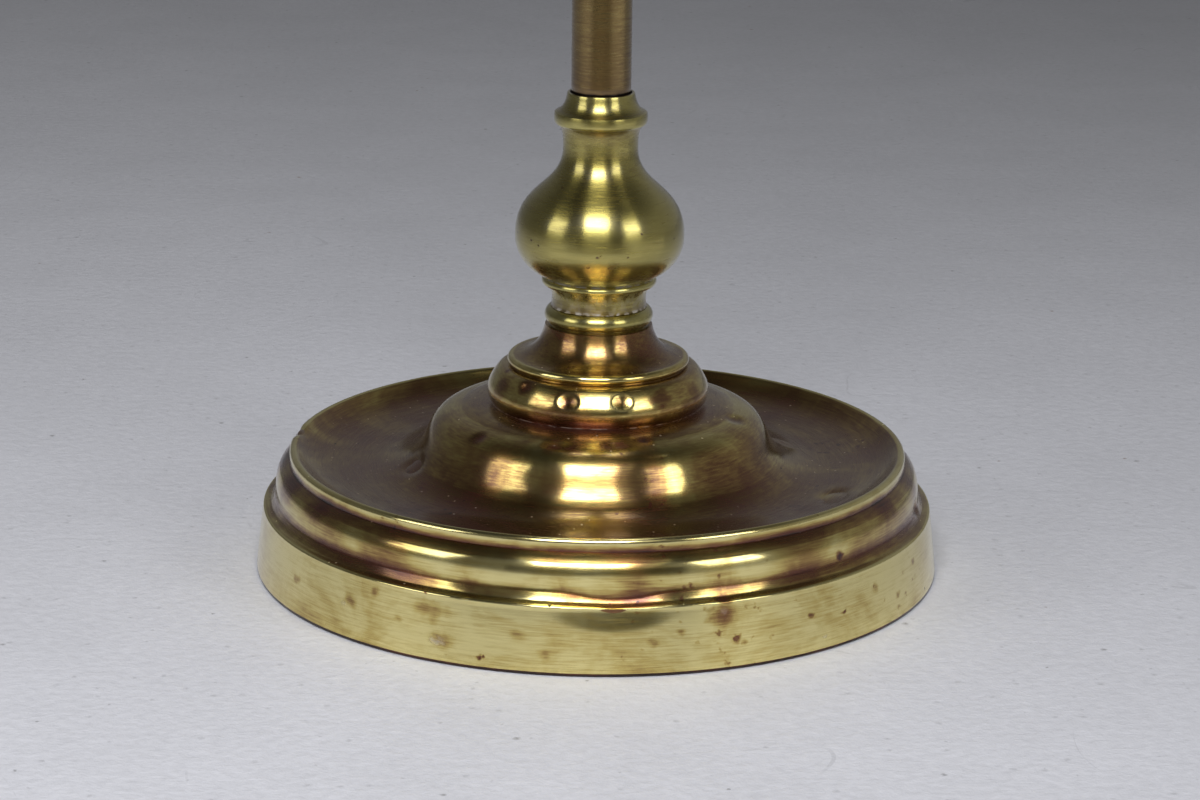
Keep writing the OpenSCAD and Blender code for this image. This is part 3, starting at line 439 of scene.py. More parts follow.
def aged_brass(name, tones, rough, axis="Z", centre=(0.0, 0.0, 0.0), grain=0.9, sweep=4.0, drawn=0.1,
               blotch=0.5, polish=0.7, lacquer=0.6, spots=0.0, pits=0.0, dust=0.0, stains=(), rubbed_and_sheen=(),
               corroded=()):
    """Lacquered brass worked on a lathe and aged by hand and air.

    The eye sees a warm mirror drawn out by fine rings, pale where hands have worn it and brown where they
    haven't, under a thin old lacquer that whitens its brightest lights and its edges.
    grain is the spacing of the rings in millimetres: real ones are 0.1 to 0.3 mm apart, too fine to show.
    sweep is how many breaks a ring has in a radian. drawn, blotch and spots are how strongly the rings, the
    clouds and the specks change the tone, and pits is the share of cells that hold one. The last three are
    lists of marks.
    """
    material, put, shader = new_material(name, Metallic=1.0, Anisotropic=polish, Anisotropic_Rotation=0.25,
                                         Coat_Weight=lacquer, Coat_Roughness=rough)
    place = put("ShaderNodeTexCoord").outputs["Object"]
    own = put("ShaderNodeMapping", {"Vector": place, "Location": Vector(centre) * MM,
                                    "Rotation": AXIS_TURNS[axis]},
              vector_type="TEXTURE")
    flat = put(VECTOR, (own, (1.0, 1.0, 0.0)), operation="MULTIPLY")
    around = put(VECTOR, (flat,), operation="NORMALIZE")
    radius = put(VECTOR, (flat,), operation="LENGTH")
    height = put(SPLIT, (own,)).outputs["Z"]

    rings = swept_noise(put, around, radius, height, sweep, 1 / (grain * MM), 4.0)
    streaks = swept_noise(put, around, radius, height, sweep / 5, 1 / (7 * grain * MM))
    patches = put(NOISE, {"Vector": own, "Scale": CLOUDS, "Detail": 5.0, "Roughness": 0.62,
                          "Distortion": 0.6})
    brown = put("ShaderNodeAttribute", attribute_name="tarnish").outputs["Fac"]
    layers = [put(RANGE, (patches, 0.3, 0.7, -blotch / 2, blotch / 2)),
              put(RANGE, (streaks, 0.3, 0.7, -drawn / 3, drawn / 3)),
              put(RANGE, (rings, 0.3, 0.7, -drawn, drawn))]
    if spots:
        speckle = put(NOISE, {"Vector": own, "Scale": SPECKS, "Detail": 3.0, "Roughness": 0.55})
        clusters = put(NOISE, {"Vector": own, "Scale": GROUPS, "Detail": 2.0})
        gathered = put(RANGE, (clusters, 0.35, 0.7, -0.12, 0.08))
        grouped = put(MATH, (speckle, gathered), operation="ADD")
        layers.append(put(RANGE, (grouped, 0.66, 0.78, 0.0, spots), interpolation_type="SMOOTHSTEP"))
    # Paler marks: worn by rubbing, and on the spun base also a painted reflection of the dome's highlight
    if rubbed_and_sheen:
        layers.append(put(MATH, (marks_at(put, own, rubbed_and_sheen), -1.0), operation="MULTIPLY"))
    if stains:
        layers.append(marks_at(put, own, stains))
    for layer in layers:
        brown = put(MATH, (brown, layer), operation="ADD", use_clamp=layer is layers[-1])
    tone = put(RAMP, (brown,), stops=tones)

    chalk = put("ShaderNodeAttribute", attribute_name="chalk").outputs["Fac"]
    crumbs = put(NOISE, {"Vector": own, "Scale": CRUMBS, "Detail": 4.0})
    broken = put(RANGE, (crumbs, 0.42, 0.6, 0.0, 1.0), interpolation_type="SMOOTHSTEP")
    caked = put(MATH, (chalk, broken), operation="MULTIPLY")
    if corroded:
        caked = put(MATH, (caked, marks_at(put, own, corroded, 0.006)), operation="MAXIMUM")
    if dust:
        motes = put(CELLS, {"Vector": own, "Scale": MOTES, "Randomness": 1.0})
        chosen = put(SPLIT, (motes.outputs["Color"],))
        few = put(RANGE, (chosen.outputs["X"], 0.82, 0.9, 0.0, 1.0))
        dots = put(RANGE, (motes.outputs["Distance"], 0.05, 0.2, 0.7 * dust, 0.0))
        film = put(RANGE, (patches, 0.35, 0.65, 0.0, 0.03 * dust))
        either = put(MATH, (put(MATH, (few, dots), operation="MULTIPLY"), film), operation="MAXIMUM")
        facing = put(SPLIT, (put("ShaderNodeNewGeometry").outputs["Normal"],))
        upward = put(RANGE, (facing.outputs["Z"], 0.8, 0.97, 0.0, 1.0))
        caked = put(MATH, (caked, put(MATH, (either, upward), operation="MULTIPLY")), operation="MAXIMUM")
    skin = put(MIX, {"Factor": caked, "A": tone, "B": colour(GREY_DUST)}, data_type="RGBA")
    tarnished = put(RANGE, (brown, 0.55, 1.0, 1.0, 0.8))
    metal = put(MATH, (tarnished, caked), operation="SUBTRACT", use_clamp=True)
    dulled = put(RANGE, (brown, 0.25, 0.8, rough, rough + 0.16))
    scratched = put(RANGE, (rings, 0.3, 0.7, -0.03, 0.03))
    matt = put(MATH, (caked, 0.4, put(MATH, (dulled, scratched), operation="ADD")), operation="MULTIPLY_ADD")
    relief = put(MATH, (rings, RING_DEPTH), operation="MULTIPLY")
    if pits:
        holes = put(CELLS, {"Vector": own, "Scale": PITS, "Randomness": 1.0})
        chance = put(SPLIT, (holes.outputs["Color"],))
        rare = put(RANGE, (chance.outputs["Y"], 1 - pits, 1 - pits * 0.8, 0.0, 1.0))
        near = holes.outputs["Distance"]
        round_hole = put(RANGE, (near, 0.06, 0.17, 1.0, 0.0), interpolation_type="SMOOTHSTEP")
        pitting = put(MATH, (rare, round_hole), operation="MULTIPLY")
        skin = put(MIX, {"Factor": pitting, "A": skin, "B": colour(PIT_BROWN)}, data_type="RGBA")
        relief = put(MATH, (pitting, -PIT_DEPTH, relief), operation="MULTIPLY_ADD")
    bump = put("ShaderNodeBump", {"Height": relief, "Strength": 0.6, "Distance": 1.0})
    turned = put("ShaderNodeTangent", direction_type="RADIAL", axis=axis)
    wire(shader, Base_Color=skin, Metallic=metal, Roughness=matt, Normal=bump, Tangent=turned)
    return material


def grainy(name, tones, rough, scale, relief, detail=4.0, stretch=(1.0, 1.0, 1.0), **shader_values):
    """A finish that one noise describes: scale is its grains in a metre, relief their height in mm."""
    material, put, shader = new_material(name, **shader_values)
    place = put("ShaderNodeTexCoord").outputs["Object"]
    own = put("ShaderNodeMapping", {"Vector": place, "Scale": stretch})
    grain = put(NOISE, {"Vector": own, "Scale": scale, "Detail": detail})
    tone = put(RAMP, (grain,), stops=tones)
    matt = put(RANGE, (grain, 0.3, 0.7, rough - 0.06, rough + 0.06))
    bump = put("ShaderNodeBump", {"Height": grain, "Strength": 0.7, "Distance": relief * MM})
    wire(shader, Base_Color=tone, Roughness=matt, Normal=bump)
    return material


def round_about(turn_deg, radius, height):
    """A point on the base, turned to the right of its front, in metres."""
    angle = math.radians(turn_deg - 90)
    return Vector((radius * math.cos(angle), radius * math.sin(angle), height)) * MM


# Brown stains on the spun base: (turn to the right of the front, radius, height), size in millimetres, depth
BASE_STAINS = (
    ((-24.6, 118.6, 8.0), 5.5, 0.3), ((-18.4, 119.1, 4.2), 1.8, 0.7), ((-17.6, 119.0, 4.4), 1.2, 0.8),
    ((20.0, 117.3, 18.8), 8.0, 0.5), ((18.4, 117.0, 20.6), 4.0, 0.5), ((22.4, 118.4, 9.7), 2.6, 0.4),
    ((23.9, 118.3, 8.6), 1.8, 0.35), ((20.8, 116.2, 23.4), 4.2, 0.6), ((45.6, 112.6, 28.7), 2.6, 0.7),
    ((44.0, 118.3, 11.0), 1.7, 0.6), ((36.6, 118.0, 13.4), 2.0, 0.45), ((-43.2, 118.0, 13.6), 5.0, 0.28),
    ((-27.1, 117.5, 17.1), 8.0, 0.3), ((-24.2, 117.4, 17.6), 5.0, 0.25), ((-33.0, 118.2, 12.0), 3.0, 0.25),
    ((-12.0, 118.2, 12.5), 4.0, 0.2), ((-8.0, 118.8, 7.0), 3.5, 0.2), ((9.0, 118.4, 10.5), 3.0, 0.2),
    ((13.6, 118.0, 13.8), 2.6, 0.3), ((-28.2, 116.8, 22.6), 1.1, 0.9), ((-22.0, 116.6, 22.8), 1.1, 0.9),
    ((-38.0, 117.2, 19.0), 3.0, 0.3), ((52.0, 117.6, 15.0), 3.5, 0.3), ((59.0, 118.2, 9.0), 2.5, 0.45),
    ((66.0, 117.5, 16.0), 2.5, 0.4), ((-58.0, 117.8, 13.0), 3.0, 0.35), ((-17.0, 50.2, 55.6), 6.5, 0.42),
    ((-9.5, 50.0, 55.6), 6.5, 0.42), ((4.0, 48.8, 56.2), 4.5, 0.42), ((9.5, 48.8, 56.4), 4.5, 0.42),
    ((20.3, 47.2, 56.8), 4.5, 0.4), ((-48.5, 53.3, 53.8), 5.0, 0.35),
    ((-16.2, 37.0, 67.7), 4.5, 0.22), ((13.3, 36.8, 68.0), 4.5, 0.3), ((-43.6, 35.6, 70.0), 5.0, 0.4),
    ((36.0, 36.8, 67.5), 5.5, 0.32), ((62.0, 37.0, 66.5), 6.0, 0.25), ((-62.0, 36.6, 67.5), 7.0, 0.3),
    ((73.0, 49.7, 55.8), 4.5, 0.4), ((110.0, 118.0, 10.0), 6.0, 0.35), ((128.0, 117.6, 15.0), 3.0, 0.5),
    ((160.0, 118.3, 8.0), 7.0, 0.3), ((205.0, 117.8, 14.0), 5.0, 0.4), ((232.0, 118.0, 11.0), 3.0, 0.5),
    ((250.0, 118.5, 7.0), 4.0, 0.4), ((-58.0, 110.5, 36.0), 10.0, 0.28), ((-72.0, 110.0, 36.0), 13.0, 0.4),
    ((-88.0, 110.0, 36.0), 13.0, 0.4), ((62.0, 110.0, 36.5), 9.0, 0.2), ((78.0, 110.0, 36.0), 12.0, 0.3),
)
# Where it is paler: the first three marks, on the front of the dish and the foot of the dome, are a painted
# reflection of the dome's highlight; the others are where hands and cloths have worn it pale
BASE_RUBBED_AND_SHEEN = (
    ((2.0, 84.0, 36.0), 36.0, 0.22), ((-4.0, 66.0, 44.0), 16.0, 0.15), ((28.0, 70.0, 42.0), 14.0, 0.12),
    ((-14.0, 112.8, 30.5), 20.0, 0.4), ((0.0, 112.8, 30.5), 20.0, 0.4), ((14.0, 112.8, 30.5), 20.0, 0.4),
    ((28.0, 112.8, 30.5), 15.0, 0.3), ((-28.0, 112.8, 30.5), 14.0, 0.3), ((45.0, 112.8, 30.5), 10.0, 0.2),
    ((-45.0, 112.8, 30.5), 10.0, 0.15), ((-10.0, 114.4, 24.6), 17.0, 0.45), ((16.0, 114.4, 24.6), 18.0, 0.45),
    ((-26.0, 114.4, 24.6), 14.0, 0.3), ((65.8, 86.0, 36.0), 7.0, 0.3), ((104.0, 70.0, 38.0), 7.0, 0.3),
    ((140.0, 112.8, 30.5), 20.0, 0.25), ((200.0, 112.8, 30.5), 25.0, 0.3),
)
# Grey bloom where the metal has begun to corrode
BASE_BLOOM = (
    ((-25.5, 118.7, 7.7), 2.6, 0.75), ((-24.9, 118.6, 9.0), 1.6, 0.6), ((20.9, 117.2, 19.6), 1.8, 0.2),
    ((-44.5, 118.2, 11.0), 2.2, 0.3), ((39.5, 118.9, 5.5), 1.3, 0.4), ((170.0, 118.0, 12.0), 2.5, 0.5),
)


def on_the_base(marks):
    return [(round_about(*place), size, depth) for place, size, depth in marks]


# Pits in the turned bulb: (turn to the right of the front, radius, height), size, depth
BULB_PITS = (
    ((29.5, 28.5, 124.2), 1.0, 1.0), ((-52.9, 29.1, 119.9), 0.7, 0.8), ((-44.6, 29.2, 118.8), 0.8, 0.9),
    ((-1.6, 29.1, 115.7), 1.0, 0.8), ((0.4, 29.1, 116.4), 0.9, 0.7), ((20.4, 29.2, 116.5), 0.9, 0.8),
    ((-7.8, 28.4, 112.8), 0.9, 0.8), ((59.8, 29.2, 119.9), 0.6, 0.8), ((44.5, 29.3, 117.4), 0.8, 0.6),
    ((47.7, 29.2, 118.7), 0.6, 0.6), ((6.2, 28.5, 112.9), 0.7, 0.6), ((-36.9, 24.3, 131.4), 0.6, 0.6),
    ((-43.8, 18.5, 136.8), 0.8, 0.4), ((101.0, 29.2, 119.0), 1.0, 0.8), ((168.0, 29.2, 117.0), 0.9, 0.9),
    ((-120.0, 28.9, 122.0), 0.8, 0.8), ((9.0, 28.5, 113.4), 3.0, 0.3),
)
# Sheet brass spun over a former: sharp rings and a strong polish under stains, dust and broken lacquer
spun_base = aged_brass("spun_sheet_brass", SPUN_TONES, 0.16, grain=0.55, sweep=12.0, drawn=0.1, blotch=0.42,
                       polish=0.85, lacquer=0.6, spots=0.35, pits=0.012, dust=1.0,
                       stains=on_the_base(BASE_STAINS), rubbed_and_sheen=on_the_base(BASE_RUBBED_AND_SHEEN),
                       corroded=on_the_base(BASE_BLOOM))
# Turned from bar: greener and more even, with its lacquer whole and a few black pits
turned_brass = aged_brass("lathe_turned_brass", TURNED_TONES, 0.24, grain=0.7, drawn=0.08, blotch=0.16,
                          polish=0.85, lacquer=1.0, pits=0.03, stains=on_the_base(BULB_PITS))
# Drawn tube: browner and softer, with short rings from its last rub down
tube_brass = aged_brass("drawn_brass_tube", TUBE_TONES, 0.24, grain=0.5, sweep=2.0, drawn=0.12, blotch=0.12,
                        polish=0.45, lacquer=1.0)
# The same makes on pieces that lie along the arm or the thumb screw
arm_tube_brass = aged_brass("drawn_brass_arm_tube", TUBE_TONES, 0.27, "X", (0, 0, head_z), drawn=0.07,
                            blotch=0.2)
arm_brass = aged_brass("lathe_turned_arm_brass", TURNED_TONES, 0.22, "X", (0, 0, head_z), grain=0.7,
                       drawn=0.07, blotch=0.3)
knob_brass = aged_brass("lathe_turned_knob_brass", TURNED_TONES, 0.22, "X", (0, 0, screw_z), grain=0.7,
                        drawn=0.07, blotch=0.3)
# Spun shade: wide clouds of tarnish over a clear polish
shade_brass = aged_brass("spun_shade_brass", SPUN_TONES, 0.15, centre=(shade_x, 0, 0), blotch=0.4, spots=0.3)
# Stamped and rolled lampholder: brighter and smoother than the turned pieces
holder_brass = aged_brass("stamped_holder_brass", TURNED_TONES, 0.2, centre=(shade_x, 0, 0), grain=0.8,
                          drawn=0.07, blotch=0.3)
# Cast and filed: pale and even, dulled by the file
cast_brass = grainy("cast_and_filed_brass", ((0.3, "#cabd74"), (0.5, "#b7a45f"), (0.7, "#94804a")), 0.3,
                    260.0, 0.03, Metallic=1.0)
# Stamped strip: clean and yellow, because it sits inside the lamp
contact_brass = grainy("stamped_contact_brass", ((0.3, "#d8c384"), (0.7, "#b99c5c")), 0.32, 400.0, 0.01,
                       Metallic=1.0)
# Drawn bar: bright grey with faint long lines
steel = grainy("drawn_steel", ((0.3, "#8d9196"), (0.7, "#6f7277")), 0.34, 300.0, 0.01, stretch=(1, 1, 0.08),
               Metallic=1.0)
# Sand casting: dull dark grey with a sandy skin
cast_iron = grainy("sand_cast_iron", ((0.35, "#2f3033"), (0.6, "#46474a")), 0.75, 700.0, 0.25, Metallic=0.4)
# Pressed wool: dark green, soft, with short fibres
felt = grainy("wool_felt", ((0.3, "#14241a"), (0.55, "#1f3626"), (0.75, "#2c4734")), 0.95, 1400.0, 0.3,
              Sheen_Weight=0.4)
# Pressed fibre: dark brown, dull and slightly hairy
fibre = grainy("pressed_fibre", ((0.3, "#241710"), (0.7, "#3a2619")), 0.6, 900.0, 0.05)
# Vulcanised fibre: brick red with a dull skin
red_fibre = grainy("vulcanised_fibre", ((0.3, "#6a2117"), (0.7, "#7f2d20")), 0.55, 800.0, 0.03)
# Glazed ceramic: white with a hard gloss
porcelain = grainy("glazed_porcelain", ((0.3, "#f0eee6"), (0.7, "#e4e1d6")), 0.12, 60.0, 0.1, Coat_Weight=0.5)
# Rolled lamp cap: pale warm grey and bright
bulb_metal = grainy("rolled_cap_metal", ((0.3, "#c9c6bd"), (0.7, "#a9a59a")), 0.3, 350.0, 0.02, Metallic=1.0)
# Black glass: nearly black with a hard gloss
black_glass = grainy("black_glass_insulator", ((0.3, "#101012"), (0.7, "#1b1b1e")), 0.1, 80.0, 0.02)
# Opal glass: milky white with a gloss, lit softly through
opal_glass = grainy("opal_glass", ((0.3, "#f4f2ea"), (0.7, "#ebe8de")), 0.1, 25.0, 0.02, Coat_Weight=0.3,
                    Subsurface_Weight=0.3, Subsurface_Scale=0.01)
# Enamel fired on sheet metal: white, glossy, with a faint orange peel
enamel = grainy("fired_white_enamel", ((0.3, "#eeebe1"), (0.7, "#e2ded2")), 0.16, 180.0, 0.08,
                Coat_Weight=0.4)

# ---------------------------------------------------------------- base

BASE_STEPS = 360


def base_outside():
    return [
        # Painted shade: the foot's last 0.7 mm takes the darkest tone, for the shadow under the skirt's edge
        *worn([(base_r - 0.05, foot_z), (base_r, foot_z + 0.7)], 1.0, 0.9),
        *worn(curve((base_r, foot_z + 0.8), (base_r - 0.8, 8), (base_r - 1.5, 15),
                    (skirt_top_r, skirt_h - 0.9), 20),
              0.1, 0.08),
        *worn(arc((skirt_top_r - 0.7, skirt_h - 0.4), 0.7, 0, 80, 6), 0.0),
        *worn(curve((skirt_top_r - 0.9, skirt_h + 0.4), (skirt_top_r - 1.8, skirt_h + 0.6),
                    (skirt_top_r - 2.3, skirt_h + 0.6), (skirt_top_r - 2.8, skirt_h + 0.9), 6), 0.32, 0.45),
        *worn(curve((skirt_top_r - 2.9, skirt_h + 1), (skirt_top_r - 3.3, skirt_h + 1.5),
                    (skirt_top_r - 3.7, skirt_h + 2.4), (skirt_top_r - 4.1, skirt_h + 3.3), 8), 0.45, 0.65),
        *worn(curve((skirt_top_r - 4.2, skirt_h + 3.5), (skirt_top_r - 4.5, skirt_h + 4.4),
                    (skirt_top_r - 4.5, skirt_h + 5.2), (skirt_top_r - 4.5, skirt_h + 6.2), 8), 0.75, 0.4),
        *worn(curve((skirt_top_r - 4.5, skirt_h + 6.8), (skirt_top_r - 4.5, rim_z - 10.7),
                    (rim_r + 4.5, rim_z - 8.5), (rim_r + 3.3, rim_z - 6.9), 16), 0.35, 0.3),
        *worn(curve((rim_r + 3.2, rim_z - 6.8), (rim_r + 2.4, rim_z - 5.8), (rim_r + 1.6, rim_z - 5.1),
                    (rim_r + 0.6, rim_z - 4.5), 10), 0.45, 0.55),
        *worn([(rim_r, rim_z - 4.2)], 0.8),
        *worn(arc((rim_r - 1.5, rim_z - 1.5), 1.5, 0, 120, 10), 0.0, 0.05),
        *worn(curve((rim_r - 2.6, rim_z - 0.3), (rim_r - 6, rim_z - 3.5), (rim_r - 9, dish_z + 0.8),
                    ((rim_r + dome_r) / 2, dish_z), 16), 0.4, 0.62),
        *worn(curve(((rim_r + dome_r) / 2 - 1, dish_z - 0.05), (dome_r + 11, dish_z - 1),
                    (dome_r + 5, dish_z + 0.2), (dome_r, dish_z + 3.7), 14), 0.62, 0.5),
        *worn(curve((dome_r - 0.6, dish_z + 4.3), (shoulder_r + 10, dish_z + 10),
                    (shoulder_r + 13, shoulder_z - 1.9), (shoulder_r, shoulder_z), 22), 0.4, 0.3),
        *worn(curve((shoulder_r - 0.8, shoulder_z + 0.3), (shoulder_r - 4.5, shoulder_z + 1.5),
                    (crease_r + 3, crease_z - 0.2), (crease_r + 0.3, crease_z), 9), 0.45, 0.6),
        *worn([(crease_r, crease_z + 0.1)], 0.6, chalk=0.5),
        *worn(curve((crease_r + 0.1, crease_z + 0.4), (torus_r + 0.6, crease_z + 2.2),
                    (torus_r + 0.9, crease_z + 5), (torus_r + 0.1, lip_z - 8.3), 12), 0.5, 0.25),
        *worn(curve((torus_r, lip_z - 8), (torus_r - 0.9, lip_z - 6), (torus_r - 2, lip_z - 4.2),
                    (torus_r - 3.4, lip_z - 2.8), 12), 0.2, 0.25),
        *worn(curve((torus_r - 3.7, lip_z - 2.6), (torus_r - 4.8, lip_z - 1.9), (lip_r + 0.6, lip_z - 1.8),
                    (lip_r - 1.2, lip_z - 1.8), 6), 0.3, 0.45),
        *worn(arc((lip_r - 1.6, lip_z), 1.6, -75, 90, 10), 0.3, 0.1),
        *worn(curve((lip_r - 2.4, lip_z + 1.6), (lip_r - 7, lip_z + 1.9), (neck_r + 1.5, lip_z + 5),
                    (neck_r, neck_z), 16), 0.44, 0.54),
        *worn([(rod_hole_r, neck_z)], 0.7),
    ]


# Knocks in the base: (turn, radius, height), half length, half width and depth in millimetres
BASE_KNOCKS = (
    ((-16.2, 37.2, 67.7), 4.6, 3.7, 0.75),
    ((13.3, 37.0, 68.0), 4.4, 3.5, 0.7),
    ((-43.6, 35.6, 70.0), 3.6, 2.6, 0.5),
    ((-14.8, 50.2, 55.6), 7.5, 3.2, 0.6),
    ((6.6, 48.8, 56.2), 5.0, 2.8, 0.45),
    ((20.3, 47.2, 56.8), 3.4, 2.0, 0.3),
    ((-48.5, 53.3, 53.8), 4.5, 3.5, 0.6),
    ((73.0, 49.7, 55.8), 6.0, 4.0, 0.8),
    ((-96.6, 106.5, 42.0), 9.0, 4.0, 1.1),
    ((78.5, 113.5, 27.5), 5.0, 4.0, 1.2),
    ((107.7, 68.4, 40.0), 10.0, 7.0, 1.3),
    ((65.8, 88.9, 36.5), 12.0, 5.0, 1.7),
    ((-75.0, 66.0, 39.0), 10.0, 6.0, 1.0),
    ((2.8, 117.0, 22.5), 23.0, 8.0, 0.7),
    ((-22.0, 116.4, 22.8), 1.6, 1.0, 0.4),
    ((20.8, 116.0, 24.0), 3.2, 2.6, 0.5),
    ((-2.7, 106.0, 42.5), 2.4, 1.4, 0.3),
    ((150.0, 117.6, 16.0), 14.0, 7.0, 0.5),
    ((215.0, 116.9, 21.0), 9.0, 5.0, 0.5),
)
# Where a knock has pushed the ledge over the skirt straight down, told the same way
BASE_SAGS = (((3.5, 112.6, 27.0), 21.0, 6.0, 2.1),)


def knock(mesh, knocks, downward=False):
    """Presses soft oval hollows into a mesh turned about Z, inward or straight down."""
    count = len(mesh.vertices)
    points = np.empty(3 * count, np.float32)
    normals = np.empty(3 * count, np.float32)
    mesh.vertices.foreach_get("co", points)
    mesh.vertices.foreach_get("normal", normals)
    points = points.reshape(count, 3)
    normals = np.array([[0.0, 0.0, 1.0]]) if downward else normals.reshape(count, 3)
    for place, length, width, depth in knocks:
        centre = np.array(round_about(*place))
        along = np.array((-centre[1], centre[0], 0.0)) / math.hypot(centre[0], centre[1])
        offset = points - centre
        run = offset @ along
        rise = np.linalg.norm(offset - run[:, None] * along, axis=1)
        spread = np.minimum((run / (length * MM)) ** 2 + (rise / (width * MM)) ** 2, 1.0)
        points -= normals * (depth * MM * (1 - spread) ** 2)[:, None]
    mesh.vertices.foreach_set("co", points.reshape(-1))
    mesh.update()


def spun_shell():
    outside = base_outside()
    # Every fifth point is enough for the inner wall, which nothing shows
    inside = worn(inset(outside[::5] + outside[-1:], base_sheet), 0.6)
    shell = turn("spun_base", [*outside, *reversed(inside), outside[0]], spun_base, BASE_STEPS)
    knock(shell.data, BASE_KNOCKS)
    knock(shell.data, BASE_SAGS, downward=True)
    crease(shell.data)
    return settle(shell, "spun_brass", "base_shell")


def felt_disc():
    """Cut felt: a flat pad with a slightly furred edge."""
    pad_r = high("felt_pad", X)
    pad_t = high("felt_pad")
    outline = [(0, 0.05), (pad_r * 0.5, 0.05), (pad_r - 1.2, 0.05), *arc((pad_r - 0.8, 0.8), 0.75, -90, 0, 4),
               (pad_r - 0.05, pad_t - 0.6), (pad_r - 0.4, pad_t - 0.05), (0, pad_t - 0.05)]
    pad = turn("felt_pad_cut", outline, felt, 360)
    for vertex in pad.data.vertices:
        fur = noise.noise(vertex.co * 900) * 0.12 + noise.noise(vertex.co * 160) * 0.08
        edge = max(0.0, vertex.co.xy.length / MM - pad_r + 2) / 2
        vertex.co.xy *= 1 - abs(fur) * edge / pad_r
    return settle(pad, "felt", "felt_pad")


spun_shell()
felt_disc()
settle(refine("flex_gland_bush", "flex_gland", fibre, 0.25), "fibre", "flex_gland")

# ---------------------------------------------------------------- baluster and poles


def baluster_outline():
    z = neck_z
    foot_r = neck_r + 0.2
    waist_r = foot_r - 2.6
    ring = foot_r + 1.1
    band_r = throat_r + 3.1
    band_z = baluster_z1 - 6.5
    bulge_z = z + 31.3
    throat_z = band_z - 12.6
    lip_out_r = lower_r + 1.35
    return solid([
        *worn([(foot_r - 1.5, z)], 0.8),
        *worn(arc((foot_r - 3.2, z + 3.4), 3.2, -70, 90, 14), 0.35, 0.1),
        *worn([(foot_r - 2.0, z + 6.6), (foot_r - 2.3, z + 6.8), (foot_r - 2.4, z + 7.2)], 0.6, chalk=0.9),
        *worn(curve((waist_r + 0.2, z + 7.5), (waist_r, z + 9.8), (waist_r, z + 11.8),
                    (waist_r + 1.2, z + 13.8), 8),
              0.5, 0.2, chalk=0.2),
        *worn(arc((ring - 1.5, z + 15.6), 1.5, -60, 100, 8), 0.1),
        *worn([(ring - 0.6, z + 16.9), (ring - 0.8, z + 17.2)], 0.4, chalk=1.0),
        *worn(curve((ring - 0.9, z + 17.3), (bulge_r - 4.2, z + 19.8), (bulge_r, bulge_z - 6.5),
                    (bulge_r, bulge_z), 24), 0.3, 0.2),
        *worn(curve((bulge_r, bulge_z + 0.5), (bulge_r, bulge_z + 18), (throat_r, throat_z - 14),
                    (throat_r, throat_z), 34), 0.24, 0.32),
        *worn(curve((throat_r, throat_z + 0.4), (throat_r, throat_z + 3), (throat_r + 0.1, throat_z + 6),
                    (band_r - 1.6, band_z - 4.8), 9), 0.25, 0.45),
        *worn([(band_r - 0.6, band_z - 4.4), (band_r - 0.15, band_z - 3.8), (band_r, band_z - 3),
               (band_r, band_z - 1.2), (band_r - 0.2, band_z - 0.4), (band_r - 0.8, band_z)], 0.05, 0.25),
        *worn(curve((band_r - 1, band_z + 0.1), (lip_out_r + 1.4, band_z + 0.8),
                    (lip_out_r + 0.4, band_z + 3.4), (lip_out_r, baluster_z1 - 0.5), 10), 0.4, 0.15),
        *worn([(lip_out_r - 0.15, baluster_z1 - 0.1), (lip_out_r - 0.5, baluster_z1)], 0.1),
        *worn([(lower_r + 0.35, baluster_z1), (lower_r + 0.35, lower_z0)], 0.9),
    ], rod_hole_r)


def tube_outline(radius, z0, z1, brown=0.4, wall=tube_wall):
    """A drawn tube, browner towards its ends, with its ends' corners broken."""
    length = z1 - z0
    outside = [(radius - 0.2, z0), (radius, z0 + 0.2)]
    outside += [(radius, z0 + length * i / 24) for i in range(1, 24)]
    outside += [(radius, z1 - 0.2), (radius - 0.2, z1)]
    path = []
    for r, z in outside:
        nearest = min(z - z0, z1 - z)
        path += worn([(r, z)], brown + 0.15 * math.exp(-nearest / 20))
    return solid(path, radius - wall)


def stepped_pole_outline():
    """The lower pole, with the dark gap that its foot leaves over the baluster's lip: a shallow groove in the
    darkest tone, as painted shade.
    """
    path = tube_outline(lower_r, lower_z0, lower_z1)
    # Painted shade: the groove takes the darkest tone
    gap = worn([(lower_r, baluster_z1 - 1.2), (lower_r - 0.8, baluster_z1 - 0.8),
                (lower_r - 0.8, baluster_z1 + 0.5),
                (lower_r - 0.1, baluster_z1 + 0.6)], 1.0)
    foot = worn([(lower_r, baluster_z1 + 0.8), (lower_r, baluster_z1 + 3)], 0.7, 0.5)
    above = next(i for i, p in enumerate(path) if p[1] > baluster_z1 + 3)
    return [*path[:2], *gap, *foot, *path[above:]]


